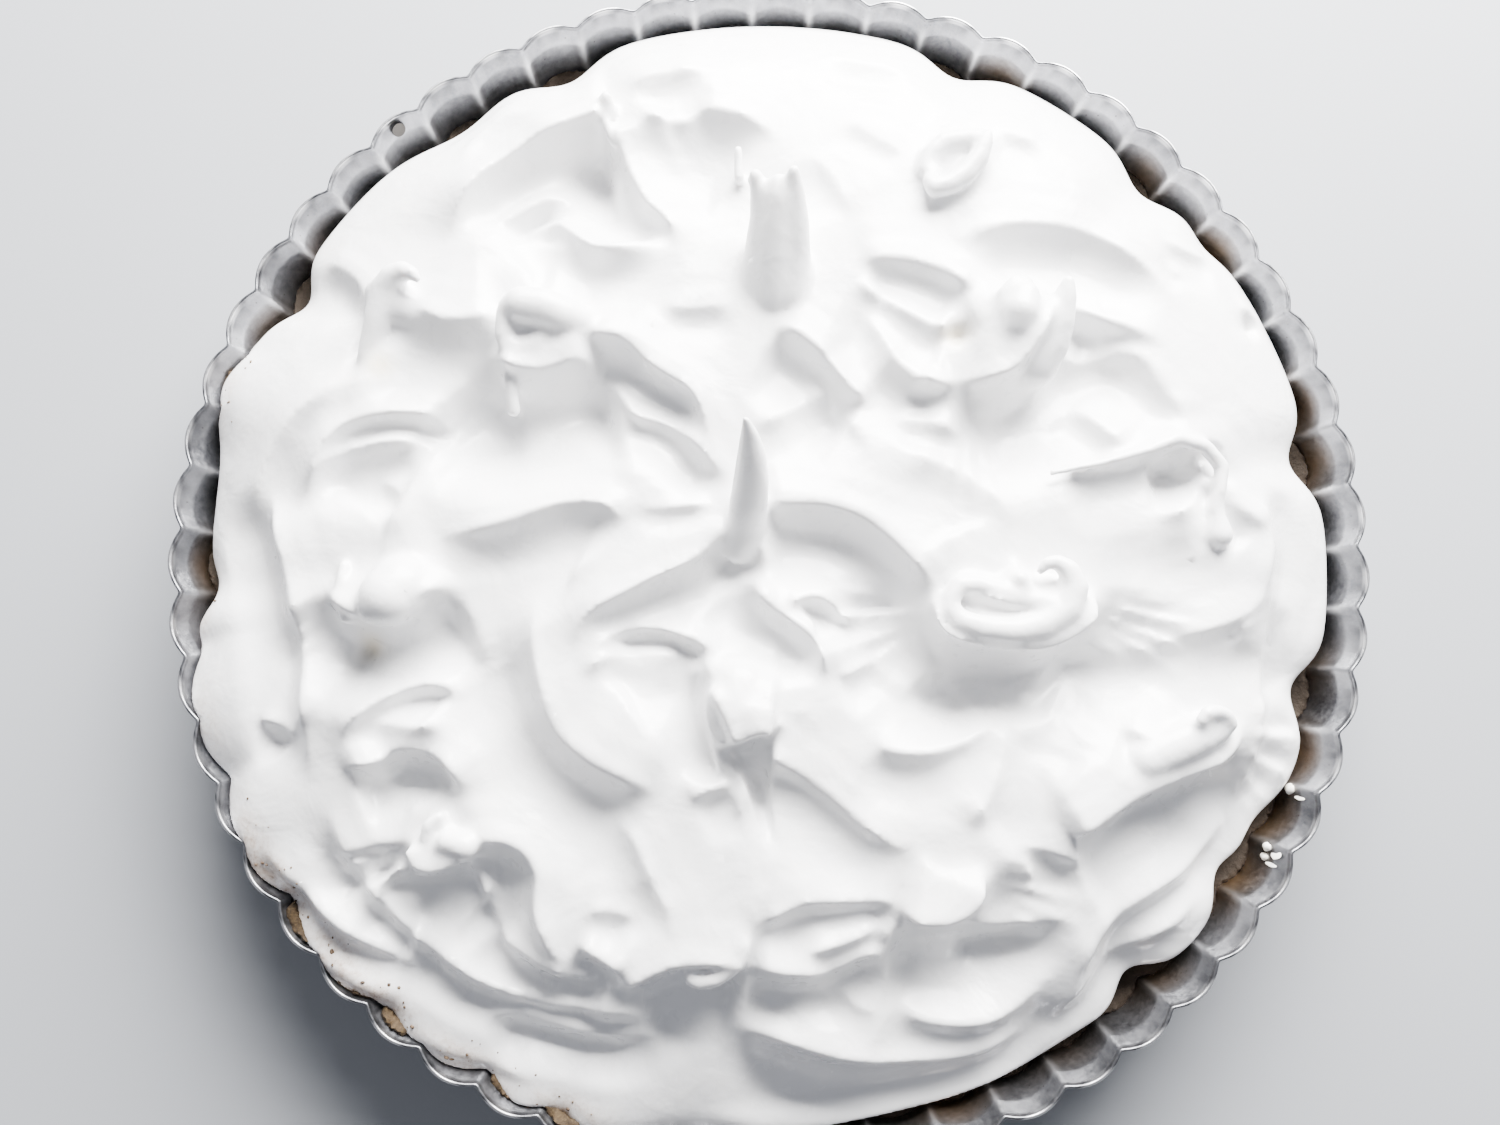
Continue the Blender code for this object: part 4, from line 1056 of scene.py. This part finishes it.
def makeCrumbs(pieces):
    # grains of crust along the edge, where the crust climbs
    trees = []
    for piece in pieces:
        mesh = piece.data
        places = [Vector(place) for place in vertexPlaces(mesh) / mm]
        trees.append(BVHTree.FromPolygons(places, [face.vertices[:] for face in mesh.polygons]))
    draw = random.Random(11)
    shape = bmesh.new()
    for _ in range(crumbs["count"]):
        middle, halfWidth, share = draw.choice(crust["climbs"])
        turn = math.radians(draw.gauss(middle, halfWidth))
        radius = draw.uniform(crumbs["inner"], crumbs["outer"])
        above = Vector((radius * math.cos(turn), radius * math.sin(turn), 60.0))
        hits = [tree.ray_cast(above, Vector((0, 0, -1)))[0] for tree in trees]
        hits = [hit for hit in hits if hit is not None]
        if not hits:
            continue
        hit = max(hits, key=lambda place: place.z)
        size = crumbs["small"] + (crumbs["large"] - crumbs["small"]) * draw.random() ** 2
        made = bmesh.ops.create_icosphere(shape, subdivisions=2, radius=size)
        stretch = Vector((draw.uniform(0.7, 1.4), draw.uniform(0.7, 1.4), draw.uniform(0.5, 0.9)))
        for vert in made["verts"]:
            dent = draw.uniform(0.8, 1.15)
            vert.co = hit + Matrix.Diagonal(stretch) @ vert.co * dent
    recipe = Recipe("crustCrumbs")
    grain = recipe.noise(900.0, 3.0, 0.6)
    tone = recipe.mix(recipe.spread(grain, 0.4, 0.6), (0.05, 0.028, 0.016), (0.17, 0.115, 0.07))
    recipe.put(baseColor=tone, roughness=0.85)
    finishPiece(shape, "crumbs", recipe.material, 60)
    print("crumbs made")


studio = {
    "floorSize": 12000.0,
    "floorDrop": 0.2,        # depth of the floor under the tin's foot
    "keyPlace": (165.0, 625.0, 385.0),
    "keyAim": (0.0, 0.0, 30.0),
    "keySize": (700.0, 520.0),
    "keyPower": 95.0,
    "skyColour": (0.87, 0.9, 1.0),
    "skyStrength": 0.42,
    "cameraPlace": (-12.6, -40.65, 279.95),
    "cameraAim": (-5.48, -1.73, 0.0),
    "lens": 26.0,
}


def makeFloor():
    shape = bmesh.new()
    bmesh.ops.create_grid(shape, x_segments=1, y_segments=1, size=studio["floorSize"] / 2 * mm)
    mesh = asMesh(shape, "floor")
    recipe = Recipe("paleFloor")
    recipe.put(baseColor=(0.27, 0.28, 0.30), roughness=0.7)
    mesh.materials.append(recipe.material)
    floor = bpy.data.objects.new("floor", mesh)
    bpy.context.scene.collection.objects.link(floor)
    floor.location.z = -studio["floorDrop"] * mm


def makeLight():
    key = bpy.data.lights.new("windowLight", "AREA")
    key.shape = "RECTANGLE"
    key.size = studio["keySize"][0] * mm
    key.size_y = studio["keySize"][1] * mm
    key.energy = studio["keyPower"]
    key.color = (1.0, 0.99, 0.975)
    lamp = bpy.data.objects.new("windowLight", key)
    lamp.location = Vector(studio["keyPlace"]) * mm
    toward = Vector(studio["keyAim"]) * mm - lamp.location
    lamp.rotation_euler = toward.to_track_quat("-Z", "Y").to_euler()
    bpy.context.scene.collection.objects.link(lamp)
    world = bpy.data.worlds.new("softRoom")
    world.use_nodes = True
    background = world.node_tree.nodes["Background"]
    background.inputs["Color"].default_value = (*studio["skyColour"], 1.0)
    background.inputs["Strength"].default_value = studio["skyStrength"]
    bpy.context.scene.world = world


def makeCamera():
    place = Vector(studio["cameraPlace"]) * mm
    forward = (Vector(studio["cameraAim"]) * mm - place).normalized()
    right = forward.cross(Vector((0, 1, 0))).normalized()
    up = right.cross(forward)
    lens = bpy.data.cameras.new("camera")
    lens.lens = studio["lens"]
    lens.sensor_width = 36.0
    lens.clip_start = 0.01
    camera = bpy.data.objects.new("camera", lens)
    turn = Matrix((right, up, -forward)).transposed().to_4x4()
    camera.matrix_world = Matrix.Translation(place) @ turn
    bpy.context.scene.collection.objects.link(camera)
    bpy.context.scene.camera = camera


makeFloor()
makeLight()
makeCamera()
makeTin()
crustPiece = makeCrust()
meringuePiece = makeMeringue()
makeDrops()
makeDriedSpot()
makeCrumbs([crustPiece, meringuePiece])

print("all pieces made")
